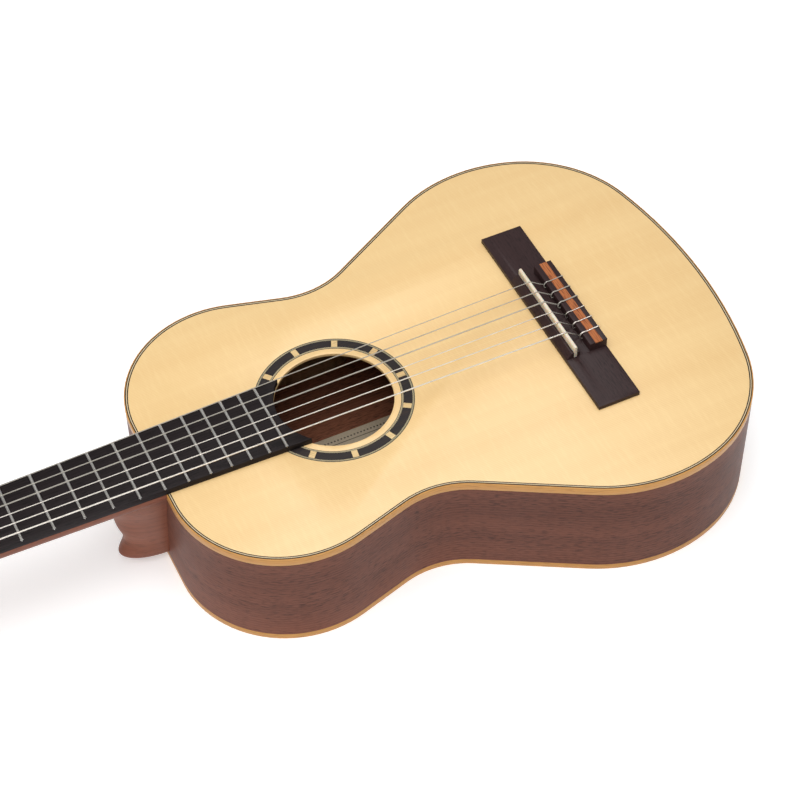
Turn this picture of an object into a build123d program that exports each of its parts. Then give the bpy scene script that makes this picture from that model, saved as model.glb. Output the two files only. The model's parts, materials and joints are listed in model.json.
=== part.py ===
from build123d import *

import os
from math import acos, atan2, cos, degrees, hypot, pi, radians, sin, sqrt, tan

# Three-quarter size classical guitar lying on its back.  Millimetres, +Z up, +Y towards the headstock,
# +X towards the treble side.  The origin is on the outer face of the back, under the centre of the soundhole.

# ---------------------------------------------------------------- driving dimensions
scale_length = 590.0
saddle_compensation = 2.2
join_fret = 12
fret_count = 18

body_length = 418.2
upper_bout = 232.3
waist = 199.8
lower_bout = 321.4
body_depth = 88.5
upper_radius = 79.1
tail_radius = 357.0
waist_fullness = 0.575
waist_station = 0.372
lower_station = 0.740
lower_roundness = 1.03
corner_share = 0.846

top_thickness = 2.5
back_thickness = 2.5
rib_thickness = 2.2
binding_width = 0.8
top_binding_height = 6.3
back_binding_height = 5.0
purfling_width = 2.0
purfling_depth = 1.6

soundhole_radius = 41.2
rosette_gap = 4.8
rosette_inner_band = 1.5
rosette_mosaic_width = 5.8
rosette_outer_band = 1.8
rosette_depth = 1.2
rosette_block_count = 11
rosette_block_width = 4.2

lining_width = 5.0
lining_height = 14.0
lining_clearance = 0.5
neck_block_width = 64.0
neck_block_length = 36.0
tail_block_width = 70.0
tail_block_length = 14.0
end_graft_width = 14.0
brace_margin = 1.0
bar_width = 8.0
bar_from_hole = 30.0
top_bar_height = 15.0
back_bar_height = 12.0
back_bar_from_hole = 72.7
fan_brace_width = 6.0
fan_brace_height = 5.0
fan_brace_count = 5
fan_spread = 7.0
fan_pitch = 38.0
fan_end_gap = 8.0

label_size = (72.0, 62.0)
label_thickness = 0.2
label_from_soundhole = 27.0

nut_width = 42.8
board_width_at_join = 54.2
board_thickness = 5.0
fret_slot_width = 0.5
fret_tang_depth = 1.5
fret_crown_width = 2.2
fret_crown_height = 1.0
board_end_margin = 5.7
fret_end_inset = 0.6
fret_bevel = 0.8
nut_length = 5.0
nut_ridge_length = 1.8
nut_slot_depth = 0.6
nut_fall = 0.47

neck_depth_at_nut = 14.0
neck_depth_at_heel = 17.0
neck_edge = 2.0
heel_line_depth = 19.5
heel_gap = 9.5
heel_cap_half_width = 12.9
heel_cap_length = 30.7
# How the heel swells from its cap to the neck: share of the heel's depth, share of the way from the cap's
# width to the fingerboard's, extra length.
heel_profile = (
    (1.00, 0.00, 0.0),
    (0.88, 0.09, -1.9),
    (0.72, 0.20, -2.8),
    (0.50, 0.41, 0.8),
    (0.36, 0.56, 3.8),
    (0.26, 0.68, 8.8),
    (0.12, 0.84, 14.4),
    (0.03, 0.97, 22.0),
)
tenon_width = 16.0
tenon_length = 12.0
tenon_height = 40.0
tenon_clearance = 0.1

bridge_length = 176.4
bridge_front = 6.9
bridge_width = 31.3
bridge_wing_height = 3.4
wing_crown = 0.5
wing_bevel = 5.0
wing_bevel_drop = 0.65
wing_bevel_radius = 32.0
bridge_middle = 83.2
saddle_ridge_height = 8.2
saddle_ridge_half = 3.2
channel_floor = 4.0
tie_block_front = 11.2
tie_block_height = 10.8
tie_hole_height = 5.8
tie_hole_radius = 0.8
tie_hole_spacing = 3.2
inlay_margin = 4.1
inlay_width = 5.6
inlay_thickness = 0.8
saddle_thickness = 2.5
saddle_over_frets = 7.5
saddle_seat = 3.0
saddle_slot_clearance = 0.05

string_pitch_at_saddle = 10.7
string_pitch_at_nut = 7.2
string_over_first_fret = 0.75
string_diameters = (0.71, 0.82, 1.02, 0.74, 0.89, 1.09)
winding_turns = 4
string_clearance = 0.05
string_lift = 0.03
tie_bend_radius = 3.0
nut_bend_radius = 4.0

head_angle = 14.0
head_length = 165.0
head_side_wall = 9.25
head_thickness = 18.0
head_flare = 26.0
head_back_edge = 16.5
head_back_relief = 0.4
head_flare_overlap = 2.0
head_crown = 13.0
head_corner = 9.0
veneer_thickness = 2.0
slot_width = 15.0
slot_core = 15.5
slot_start = 16.0
slot_end_margin = 21.0

roller_spacing = 35.0
first_roller = 48.0
roller_radius = 5.0
roller_depth = 8.0
roller_stub = 6.0
running_clearance = 0.08
roller_end_gap = 0.2
roller_x = (17.5, 16.0, 15.0)
string_hole_radius = 0.8
tie_string_end = 1.0

plate_thickness = 1.2
plate_height = 16.0
plate_end = 19.0
plate_corner = 5.0
end_screw_shift = 2.0
tab_thickness = 1.2
tab_half_width = 3.2
tab_distance = 7.2
axle_radius = 3.0
post_radius = 2.0
screw_head_radius = 2.2
screw_head_height = 1.1
screw_head_rounding = 0.75
screw_shank_radius = 0.95
screw_length = 8.0
screw_drive_width = 0.5
gear_screw_radius = 2.8
gear_screw_gap = 0.02

gear_teeth = 14
gear_module = 0.75
gear_width = 3.7
gear_addendum = 0.75
gear_dedendum = 0.95
gear_slot_half = 0.69
gear_slot_slope = 0.36
worm_pitch_radius = 2.25
worm_addendum = 0.75
worm_dedendum = 0.90
thread_half = 0.40
thread_slope = 0.34
worm_clearance = 0.9
worm_end = 9.4
thread_turns = 4
thread_turns_below = 1.75
worm_root_overlap = 0.4
button_gap = 2.5
button_collar_radius = 3.0
button_collar_height = 3.0
button_width = 15.0
button_thickness = 7.5
button_height = 15.0
button_corner = 5.0
button_rounding = 2.2

# ---------------------------------------------------------------- derived places
string_count = len(string_diameters)
top_z = body_depth
nut_distance = scale_length * (1 - 2 ** (-join_fret / 12))
last_fret_distance = scale_length * (1 - 2 ** (-fret_count / 12))
nut_y = soundhole_radius + board_end_margin + last_fret_distance
join_y = nut_y - nut_distance
nut_back_y = nut_y + nut_length
saddle_y = nut_y - scale_length - saddle_compensation
tail_y = join_y - body_length
board_top = top_z + board_thickness
rib_bottom = back_thickness
rib_top = top_z - top_thickness
purfling_inset = binding_width + purfling_width
lining_inset = rib_thickness + lining_width
heel_height = body_depth - heel_gap
tenon_z = top_z - (heel_line_depth + heel_height) / 2
fret_height = board_thickness + fret_crown_height
string_height_at_nut = fret_height + string_over_first_fret
saddle_height = fret_height + saddle_over_frets
rosette_inner_radius = soundhole_radius + rosette_gap
inner_band_radius = rosette_inner_radius + rosette_inner_band
outer_band_radius = inner_band_radius + rosette_mosaic_width
rosette_outer_radius = outer_band_radius + rosette_outer_band


def board_half_width(y):
    """Half the fingerboard's width at a place along the neck."""
    taper = (board_width_at_join - nut_width) / nut_distance
    return (board_width_at_join - taper * (y - join_y)) / 2


def fret_y(number):
    """Place of a fret, counted from the nut."""
    return nut_y - scale_length * (1 - 2 ** (-number / 12))


def angle_to(start, end):
    """Direction in degrees from one point of the plan to another."""
    return degrees(atan2(end[1] - start[1], end[0] - start[0]))


def distance(start, end):
    """Distance between two points of the plan."""
    return hypot(end[0] - start[0], end[1] - start[1])


# The plan of one half of the body is five tangent arcs: upper bout, waist, lower bout, corner and tail.
lower_radius = lower_roundness * (1 - lower_station) * body_length
corner_radius = corner_share * lower_radius
waist_y = join_y - waist_station * body_length
upper_centre = (upper_bout / 2 - upper_radius, join_y - upper_radius)
lower_centre = (lower_bout / 2 - lower_radius, join_y - lower_station * body_length)
tail_centre = (0.0, tail_y + tail_radius)


def largest_waist_radius(centre, radius):
    """Radius at which a waist arc would meet a bout's arc with no straight run between them."""
    gap = waist / 2 - centre[0]
    rise = waist_y - centre[1]
    return (gap**2 + rise**2 - radius**2) / (2 * (radius - gap))


waist_radius = waist_fullness * min(
    largest_waist_radius(upper_centre, upper_radius), largest_waist_radius(lower_centre, lower_radius)
)
waist_centre = (waist / 2 + waist_radius, waist_y)
upper_end = angle_to(upper_centre, waist_centre) + degrees(
    acos((upper_radius + waist_radius) / distance(upper_centre, waist_centre))
)
lower_start = angle_to(lower_centre, waist_centre) - degrees(
    acos((lower_radius + waist_radius) / distance(lower_centre, waist_centre))
)

# The corner arc touches the lower bout's arc and the tail's arc from inside.
to_lower = lower_radius - corner_radius
to_tail = tail_radius - corner_radius
centres_apart = distance(lower_centre, tail_centre)
along = (to_lower**2 - to_tail**2 + centres_apart**2) / (2 * centres_apart)
across = sqrt(to_lower**2 - along**2)
axis_angle = radians(angle_to(lower_centre, tail_centre))
corner_centre = (
    lower_centre[0] + along * cos(axis_angle) + across * sin(axis_angle),
    lower_centre[1] + along * sin(axis_angle) - across * cos(axis_angle),
)
corner_start = angle_to(lower_centre, corner_centre)
tail_start = angle_to(tail_centre, corner_centre)


def body_plan(inset):
    """Closed plan of the body, moved in evenly from the outer edge."""
    with BuildSketch() as plan:
        with BuildLine():
            edge_y = join_y - inset
            Line((0, edge_y), (upper_centre[0], edge_y))
            upper = CenterArc(upper_centre, upper_radius - inset, 90, upper_end - 90)
            middle = CenterArc(waist_centre, waist_radius + inset, upper_end + 180, lower_start - upper_end)
            lower = CenterArc(lower_centre, lower_radius - inset, lower_start, corner_start - lower_start)
            Line(upper @ 1, middle @ 0)
            Line(middle @ 1, lower @ 0)
            CenterArc(corner_centre, corner_radius - inset, corner_start, tail_start - corner_start)
            CenterArc(tail_centre, tail_radius - inset, tail_start, -90 - tail_start)
            mirror(about=Plane.YZ)
        make_face()
    return plan.sketch


outer_plan = body_plan(0)
binding_plan = body_plan(binding_width)
purfling_plan = body_plan(purfling_inset)
inside_plan = body_plan(rib_thickness)
lining_plan = body_plan(lining_inset)
brace_plan = body_plan(lining_inset + brace_margin)

head_plane = Plane(
    origin=(0, nut_back_y, top_z),
    x_dir=(1, 0, 0),
    z_dir=(0, sin(radians(head_angle)), cos(radians(head_angle))),
)

# ---------------------------------------------------------------- sound box
with BuildPart() as soundboard:
    with BuildSketch(Plane.XY.offset(rib_top)):
        add(binding_plan)
        Circle(soundhole_radius, mode=Mode.SUBTRACT)
    extrude(amount=top_thickness)
    with BuildSketch(Plane.XY.offset(top_z)):
        add(binding_plan)
        add(purfling_plan, mode=Mode.SUBTRACT)
    extrude(amount=-purfling_depth, mode=Mode.SUBTRACT)
    with BuildSketch(Plane.XY.offset(top_z)):
        Circle(rosette_outer_radius)
        Circle(rosette_inner_radius, mode=Mode.SUBTRACT)
    extrude(amount=-rosette_depth, mode=Mode.SUBTRACT)

with BuildPart() as back_panel:
    with BuildSketch():
        add(binding_plan)
    extrude(amount=back_thickness)

with BuildPart() as top_binding:
    with BuildSketch(Plane.XY.offset(top_z)):
        add(outer_plan)
        add(binding_plan, mode=Mode.SUBTRACT)
    extrude(amount=-top_binding_height)

with BuildPart() as back_binding:
    with BuildSketch():
        add(outer_plan)
        add(binding_plan, mode=Mode.SUBTRACT)
    extrude(amount=back_binding_height)

with BuildPart() as top_purfling:
    with BuildSketch(Plane.XY.offset(top_z)):
        add(binding_plan)
        add(purfling_plan, mode=Mode.SUBTRACT)
    extrude(amount=-purfling_depth)

with BuildPart() as rib_ring:
    with BuildSketch(Plane.XY.offset(rib_bottom)):
        add(outer_plan)
        add(inside_plan, mode=Mode.SUBTRACT)
    extrude(amount=rib_top - rib_bottom)
    with BuildSketch(Plane.XY.offset(top_z)):
        add(outer_plan)
        add(binding_plan, mode=Mode.SUBTRACT)
    extrude(amount=-top_binding_height, mode=Mode.SUBTRACT)
    with BuildSketch():
        add(outer_plan)
        add(binding_plan, mode=Mode.SUBTRACT)
    extrude(amount=back_binding_height, mode=Mode.SUBTRACT)
    with Locations((0, join_y, tenon_z)):
        Box(
            tenon_width + 2 * tenon_clearance,
            3 * rib_thickness,
            tenon_height + 2 * tenon_clearance,
            mode=Mode.SUBTRACT,
        )

with BuildPart() as end_graft:
    add(rib_ring.part)
    with Locations((0, tail_y, body_depth / 2)):
        Box(end_graft_width, 10 * rib_thickness, body_depth, mode=Mode.INTERSECT)

with BuildPart() as rib_pair:
    add(rib_ring.part)
    add(end_graft.part, mode=Mode.SUBTRACT)

with BuildPart() as rib_bass:
    add(rib_pair.part)
    split(bisect_by=Plane.YZ, keep=Keep.BOTTOM)

with BuildPart() as rib_treble:
    add(rib_pair.part)
    split(bisect_by=Plane.YZ, keep=Keep.TOP)

inner_height = rib_top - rib_bottom

with BuildPart() as neck_block:
    with BuildSketch(Plane.XY.offset(rib_bottom)):
        add(inside_plan)
        with Locations((0, join_y)):
            Rectangle(neck_block_width, 2 * (neck_block_length + rib_thickness), mode=Mode.INTERSECT)
    extrude(amount=inner_height)
    with Locations((0, join_y, tenon_z)):
        Box(
            tenon_width + 2 * tenon_clearance,
            2 * (tenon_length + tenon_clearance),
            tenon_height + 2 * tenon_clearance,
            mode=Mode.SUBTRACT,
        )

with BuildPart() as tail_block:
    with BuildSketch(Plane.XY.offset(rib_bottom)):
        add(inside_plan)
        with Locations((0, tail_y)):
            Rectangle(tail_block_width, 2 * (tail_block_length + rib_thickness), mode=Mode.INTERSECT)
    extrude(amount=inner_height)

with BuildPart() as linings:
    for start in (rib_bottom, rib_top - lining_height):
        with BuildSketch(Plane.XY.offset(start)):
            add(inside_plan)
            add(lining_plan, mode=Mode.SUBTRACT)
        extrude(amount=lining_height)
    add(neck_block.part, mode=Mode.SUBTRACT)
    add(tail_block.part, mode=Mode.SUBTRACT)
    with Locations((0, join_y, tenon_z)):
        Box(
            tenon_width + 2 * lining_clearance,
            2 * neck_block_length,
            tenon_height + 2 * lining_clearance,
            mode=Mode.SUBTRACT,
        )

bar_y_above = soundhole_radius + bar_from_hole
bar_y_below = -soundhole_radius - bar_from_hole
back_bar_y = -soundhole_radius - back_bar_from_hole
fan_start = bar_y_below - bar_width / 2
fan_end = tail_y + rib_thickness + tail_block_length
fan_length = fan_start - fan_end - 2 * fan_end_gap
fan_middle = (fan_start + fan_end) / 2

with BuildPart() as soundboard_braces:
    with BuildSketch(Plane.XY.offset(rib_top)):
        with Locations((0, bar_y_above), (0, bar_y_below)):
            Rectangle(lower_bout, bar_width)
        add(brace_plan, mode=Mode.INTERSECT)
    extrude(amount=-top_bar_height)
    with BuildSketch(Plane.XY.offset(rib_top)):
        for number in range(fan_brace_count):
            side = number - (fan_brace_count - 1) / 2
            with Locations(Location((side * fan_pitch, fan_middle, 0), (0, 0, side * fan_spread))):
                Rectangle(fan_brace_width, fan_length)
        add(brace_plan, mode=Mode.INTERSECT)
    extrude(amount=-fan_brace_height)

with BuildPart() as back_braces:
    with BuildSketch(Plane.XY.offset(back_thickness)):
        with Locations((0, bar_y_above), (0, back_bar_y), (0, (back_bar_y + tail_y) / 2)):
            Rectangle(lower_bout, bar_width)
        add(brace_plan, mode=Mode.INTERSECT)
    extrude(amount=back_bar_height)

with BuildPart() as label:
    with Locations((0, -label_from_soundhole, back_thickness)):
        Box(*label_size, label_thickness, align=(Align.CENTER, Align.CENTER, Align.MIN))

# ---------------------------------------------------------------- rosette
band_middle = (inner_band_radius + outer_band_radius) / 2
first_block_angle = -90.0


def flat_ring(low, high):
    """Ring let into the top of the soundboard."""
    with BuildPart() as ring:
        with BuildSketch(Plane.XY.offset(top_z)):
            Circle(high)
            Circle(low, mode=Mode.SUBTRACT)
        extrude(amount=-rosette_depth)
    return ring.part


with BuildPart() as rosette_lines:
    add(flat_ring(rosette_inner_radius, inner_band_radius))
    add(flat_ring(outer_band_radius, rosette_outer_radius))

with BuildPart() as block_cutter:
    with BuildSketch(Plane.XY.offset(top_z)):
        with PolarLocations(band_middle, rosette_block_count, start_angle=first_block_angle):
            Rectangle(2 * rosette_mosaic_width, rosette_block_width)
    extrude(amount=-rosette_depth)

with BuildPart() as rosette_segments:
    add(flat_ring(inner_band_radius, outer_band_radius))
    add(block_cutter.part, mode=Mode.SUBTRACT)

with BuildPart() as rosette_blocks:
    add(flat_ring(inner_band_radius, outer_band_radius))
    add(block_cutter.part, mode=Mode.INTERSECT)

# ---------------------------------------------------------------- neck and heel
def neck_section(plane, half_width, depth, edge):
    """Section across the neck: flat on top, short upright edges and a half ellipse for its back."""
    with BuildSketch(plane) as section:
        with BuildLine():
            Polyline((-half_width, -edge), (-half_width, 0), (half_width, 0), (half_width, -edge))
            EllipticalCenterArc((0, -edge), half_width, depth - edge, start_angle=180, arc_size=180)
        make_face()
    return section.sketch


def cross_plane(y):
    """Upright plane across the neck, facing the tail, at the glue plane under the fingerboard."""
    return Plane(origin=(0, y, top_z), x_dir=(1, 0, 0), z_dir=(0, -1, 0))


with BuildPart() as carved_neck:
    loft(
        [
            neck_section(cross_plane(join_y), board_half_width(join_y), neck_depth_at_heel, neck_edge),
            neck_section(cross_plane(nut_back_y), board_half_width(nut_y), neck_depth_at_nut, neck_edge),
        ]
    )
    for share, wider, longer in heel_profile:
        half_width = heel_cap_half_width + wider * (board_half_width(join_y) - heel_cap_half_width)
        with BuildSketch(Plane.XY.offset(top_z - share * heel_height)):
            with BuildLine():
                EllipticalCenterArc(
                    (0, join_y), half_width, heel_cap_length + longer, start_angle=0, arc_size=180
                )
                Line((-half_width, join_y), (half_width, join_y))
            make_face()
    loft()

heel_line = Plane.XY.offset(top_z - heel_line_depth)

with BuildPart() as neck_shaft:
    add(carved_neck.part)
    split(bisect_by=heel_line, keep=Keep.TOP)

with BuildPart() as heel_block:
    add(carved_neck.part)
    split(bisect_by=heel_line, keep=Keep.BOTTOM)
    with Locations((0, join_y, tenon_z)):
        Box(tenon_width, tenon_length, tenon_height, align=(Align.CENTER, Align.MAX, Align.CENTER))

# ---------------------------------------------------------------- fingerboard, frets and nut
fret_places = [fret_y(number) for number in range(1, fret_count + 1)]

with BuildPart() as fingerboard:
    with BuildSketch(Plane.XY.offset(top_z)):
        with BuildLine():
            Polyline(
                (board_half_width(nut_y), nut_y),
                (board_half_width(0), 0),
                (-board_half_width(0), 0),
                (-board_half_width(nut_y), nut_y),
                close=True,
            )
        make_face()
        Circle(soundhole_radius, mode=Mode.SUBTRACT)
    extrude(amount=board_thickness)
    for place in fret_places:
        with Locations((0, place, board_top)):
            Box(
                lower_bout,
                fret_slot_width,
                fret_tang_depth,
                align=(Align.CENTER, Align.CENTER, Align.MAX),
                mode=Mode.SUBTRACT,
            )


def fret_wire(place):
    """One fret: a domed crown with bevelled ends on a thin tang."""
    half = board_half_width(place) - fret_end_inset
    with BuildPart() as wire:
        with BuildSketch(Plane.YZ.offset(-half)):
            with BuildLine():
                low = board_top
                ThreePointArc(
                    (place - fret_crown_width / 2, low),
                    (place, low + fret_crown_height),
                    (place + fret_crown_width / 2, low),
                )
                Line((place + fret_crown_width / 2, low), (place - fret_crown_width / 2, low))
            make_face()
        extrude(amount=2 * half)
        with BuildSketch(Plane(origin=(0, place, board_top), x_dir=(1, 0, 0), z_dir=(0, -1, 0))):
            with BuildLine():
                Polyline(
                    (-half, 0),
                    (-half + fret_bevel, fret_crown_height),
                    (half - fret_bevel, fret_crown_height),
                    (half, 0),
                    close=True,
                )
            make_face()
        extrude(amount=fret_crown_width, both=True, mode=Mode.INTERSECT)
        with Locations((0, place, board_top)):
            Box(2 * half, fret_slot_width, fret_tang_depth, align=(Align.CENTER, Align.CENTER, Align.MAX))
    return wire.part


with BuildPart() as frets:
    add([fret_wire(place) for place in fret_places])


def string_offset(number, pitch):
    """Sideways place of a string, counted from the treble side."""
    return ((string_count + 1) / 2 - number) * pitch


string_base_at_nut = top_z + string_height_at_nut
nut_top = string_base_at_nut + nut_slot_depth
ridge_back = nut_y + nut_ridge_length

with BuildPart() as nut:
    with BuildSketch(Plane.YZ.offset(-nut_width / 2)):
        with BuildLine():
            Polyline(
                (nut_y, top_z),
                (nut_y, nut_top),
                (ridge_back, nut_top),
                (nut_back_y, nut_top - (nut_length - nut_ridge_length) * nut_fall),
                (nut_back_y, top_z),
                close=True,
            )
        make_face()
    extrude(amount=nut_width)
    for number, diameter in enumerate(string_diameters, 1):
        groove = diameter + 2 * string_clearance
        bottom = string_base_at_nut - string_lift
        with BuildSketch(Plane.YZ.offset(string_offset(number, string_pitch_at_nut) - groove / 2)):
            with BuildLine():
                Polyline(
                    (nut_y - nut_length, bottom),
                    (ridge_back, bottom),
                    (nut_back_y, bottom - (nut_length - nut_ridge_length) * nut_fall),
                    (nut_back_y, nut_top + nut_length),
                    (nut_y - nut_length, nut_top + nut_length),
                    close=True,
                )
            make_face()
        extrude(amount=groove, mode=Mode.SUBTRACT)

# ---------------------------------------------------------------- bridge, saddle and inlay
bridge_front_y = saddle_y + bridge_front
bridge_back_y = bridge_front_y - bridge_width
bridge_middle_y = bridge_front_y - bridge_width / 2
wing_top = top_z + bridge_wing_height
bevel_half = hypot(wing_bevel, wing_bevel_drop) / 2
bevel_lift = sqrt(wing_bevel_radius**2 - bevel_half**2) / (2 * bevel_half)
bevel_x = bridge_length / 2 - wing_bevel / 2 + bevel_lift * wing_bevel_drop
bevel_z = wing_top + wing_crown - wing_bevel_drop / 2 + bevel_lift * wing_bevel
tie_front_y = saddle_y - tie_block_front
tie_block_length = tie_front_y - bridge_back_y
tie_hole_z = top_z + tie_hole_height
inlay_y = tie_front_y - inlay_margin - inlay_width / 2

with BuildPart() as bridge:
    with BuildSketch(Plane.YZ.offset(-bridge_length / 2)):
        with BuildLine():
            Polyline(
                (bridge_back_y, wing_top),
                (bridge_back_y, top_z),
                (bridge_front_y, top_z),
                (bridge_front_y, wing_top),
            )
            ThreePointArc(
                (bridge_front_y, wing_top),
                (bridge_middle_y, wing_top + wing_crown),
                (bridge_back_y, wing_top),
            )
        make_face()
    extrude(amount=bridge_length)
    # A hollow bevel thins the end of each wing. The wing is crowned, so the bevel starts in a crescent.
    for side in (1, -1):
        with Locations((side * bevel_x, bridge_middle_y, bevel_z)):
            Cylinder(wing_bevel_radius, 2 * bridge_width, rotation=(90, 0, 0), mode=Mode.SUBTRACT)
    with BuildSketch(Plane.YZ.offset(-bridge_middle / 2)):
        with BuildLine():
            Polyline(
                (bridge_front_y, top_z),
                (bridge_front_y, wing_top),
                (saddle_y + saddle_ridge_half, top_z + saddle_ridge_height),
                (saddle_y - saddle_ridge_half, top_z + saddle_ridge_height),
                (saddle_y - saddle_ridge_half, top_z + channel_floor),
                (tie_front_y, top_z + channel_floor),
                (tie_front_y, top_z + tie_block_height),
                (bridge_back_y, top_z + tie_block_height),
                (bridge_back_y, top_z),
                close=True,
            )
        make_face()
    extrude(amount=bridge_middle)
    with Locations((0, saddle_y, top_z + saddle_seat)):
        Box(
            bridge_middle,
            saddle_thickness + 2 * saddle_slot_clearance,
            saddle_ridge_height,
            align=(Align.CENTER, Align.CENTER, Align.MIN),
            mode=Mode.SUBTRACT,
        )
    with Locations((0, inlay_y, top_z + tie_block_height)):
        Box(
            bridge_middle,
            inlay_width,
            inlay_thickness,
            align=(Align.CENTER, Align.CENTER, Align.MAX),
            mode=Mode.SUBTRACT,
        )
    for number in range(1, string_count + 1):
        hole_x = string_offset(number, string_pitch_at_saddle)
        beside_x = hole_x - tie_hole_spacing
        with Locations((hole_x, bridge_back_y, tie_hole_z), (beside_x, bridge_back_y, tie_hole_z)):
            Cylinder(tie_hole_radius, 3 * tie_block_length, rotation=(90, 0, 0), mode=Mode.SUBTRACT)

with BuildPart() as saddle:
    with BuildSketch(Plane.YZ.offset(-bridge_middle / 2)):
        with BuildLine():
            half = saddle_thickness / 2
            crown = top_z + saddle_height - half
            Polyline((saddle_y - half, crown), (saddle_y - half, top_z + saddle_seat))
            Line((saddle_y - half, top_z + saddle_seat), (saddle_y + half, top_z + saddle_seat))
            Line((saddle_y + half, top_z + saddle_seat), (saddle_y + half, crown))
            ThreePointArc((saddle_y + half, crown), (saddle_y, crown + half), (saddle_y - half, crown))
        make_face()
    extrude(amount=bridge_middle)

with BuildPart() as tie_block_inlay:
    with Locations((0, inlay_y, top_z + tie_block_height)):
        Box(
            bridge_middle,
            inlay_width,
            inlay_thickness,
            align=(Align.CENTER, Align.CENTER, Align.MAX),
        )

# ---------------------------------------------------------------- headstock
slot_middle = (slot_core + slot_width) / 2
slot_end = head_length - slot_end_margin
slot_length = slot_end - slot_start
side_x = slot_core / 2 + slot_width + head_side_wall


def head_point(x, y, z):
    """A place on the tilted headstock, measured from the back of the nut on its face."""
    return head_plane.from_local_coords((x, y, z))


def head_plan(start):
    """Plan of the headstock from a given place to its crown."""
    shoulder = head_length - head_crown
    with BuildSketch(head_plane) as plan:
        with BuildLine():
            Polyline((side_x, shoulder), (side_x, start), (-side_x, start), (-side_x, shoulder))
            ThreePointArc((-side_x, shoulder), (0, head_length), (side_x, shoulder))
        make_face()
        fillet(plan.vertices().sort_by(SortBy.DISTANCE)[-2:], radius=head_corner)
    return plan.sketch


with BuildSketch(head_plane) as slot_plan:
    with Locations((slot_middle, slot_start + slot_length / 2), (-slot_middle, slot_start + slot_length / 2)):
        SlotOverall(slot_length, slot_width, rotation=90)


def side_location(side, place):
    """Location on the treble side of the headstock, or turned half round for the bass side."""
    x, y, z = place
    turned = (0, 0, 0) if side > 0 else (0, 0, 180)
    return head_plane.location * Location((0, y, z), turned) * Location((x, 0, 0))


bore_start = slot_core / 2 - roller_stub
roller_places = [first_roller + step * roller_spacing for step in range(3)]
screw_places = [
    first_roller - roller_spacing / 2 + end_screw_shift,
    first_roller + roller_spacing / 2,
    first_roller + 3 * roller_spacing / 2,
    roller_places[2] + roller_spacing / 2 - end_screw_shift,
]

flare_start = neck_section(cross_plane(nut_back_y), board_half_width(nut_y), neck_depth_at_nut, neck_edge)
flare_end = neck_section(
    Plane(origin=head_point(0, head_flare, 0), x_dir=(1, 0, 0), z_dir=-head_plane.y_dir),
    side_x,
    head_thickness - head_back_relief,
    head_back_edge,
)

with BuildPart() as headstock:
    loft([flare_start, flare_end])
    # The flare runs a little way into the slab of the head, so that the two are one piece of wood.
    extrude(flare_end, amount=-head_flare_overlap)
    extrude(head_plan(head_flare), amount=-head_thickness)
    extrude(slot_plan.sketch, amount=2 * head_thickness, both=True, mode=Mode.SUBTRACT)
    for place in roller_places:
        for side in (1, -1):
            with Locations(side_location(side, (bore_start, place, -roller_depth))):
                Cylinder(
                    roller_radius + running_clearance,
                    side_x,
                    rotation=(0, 90, 0),
                    align=(Align.CENTER, Align.CENTER, Align.MIN),
                    mode=Mode.SUBTRACT,
                )
    for place in screw_places:
        for side in (1, -1):
            with Locations(side_location(side, (side_x, place, -roller_depth))):
                Cylinder(
                    screw_shank_radius,
                    screw_length,
                    rotation=(0, 90, 0),
                    align=(Align.CENTER, Align.CENTER, Align.MAX),
                    mode=Mode.SUBTRACT,
                )

with BuildPart() as headstock_veneer:
    add(head_plan(head_flare))
    with BuildSketch(head_plane):
        with BuildLine():
            Polyline(
                (board_half_width(nut_y), 0),
                (side_x, head_flare),
                (-side_x, head_flare),
                (-board_half_width(nut_y), 0),
                close=True,
            )
        make_face()
    extrude(amount=veneer_thickness)
    extrude(slot_plan.sketch, amount=2 * veneer_thickness, both=True, mode=Mode.SUBTRACT)

# ---------------------------------------------------------------- tuning machines
plate_outer = side_x + plate_thickness
worm_radius = worm_pitch_radius + worm_addendum
worm_core_radius = worm_pitch_radius - worm_dedendum
worm_x = plate_outer + worm_clearance + worm_radius
gear_pitch_radius = gear_teeth * gear_module / 2
centre_distance = gear_pitch_radius + worm_pitch_radius
thread_pitch = pi * gear_module
lead_angle = atan2(thread_pitch, 2 * pi * worm_pitch_radius)
plate_length = roller_places[-1] - roller_places[0] + 2 * plate_end
plate_middle = (roller_places[0] + roller_places[-1]) / 2
side_plane = Plane(origin=head_point(side_x, 0, 0), x_dir=head_plane.y_dir, z_dir=(1, 0, 0))

with BuildPart() as tuner_plate_treble:
    with BuildSketch(side_plane):
        with Locations((plate_middle, -roller_depth)):
            RectangleRounded(plate_length, plate_height, plate_corner)
        with Locations([(place, -roller_depth) for place in roller_places]):
            Circle(axle_radius + running_clearance, mode=Mode.SUBTRACT)
        with Locations([(place, -roller_depth) for place in screw_places]):
            Circle(screw_shank_radius, mode=Mode.SUBTRACT)
    extrude(amount=plate_thickness)
    for place in roller_places:
        for low in (tab_distance, -tab_distance - tab_thickness):
            with BuildSketch(head_plane.offset(low - roller_depth)):
                with Locations(((plate_outer + worm_x) / 2, place + centre_distance)):
                    Rectangle(worm_x - plate_outer, 2 * tab_half_width)
                with Locations((worm_x, place + centre_distance)):
                    Circle(tab_half_width)
                    Circle(worm_core_radius + running_clearance, mode=Mode.SUBTRACT)
            extrude(amount=tab_thickness)

with BuildPart() as tuner_plate_bass:
    add(mirror(tuner_plate_treble.part, about=Plane.YZ, mode=Mode.PRIVATE))

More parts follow.
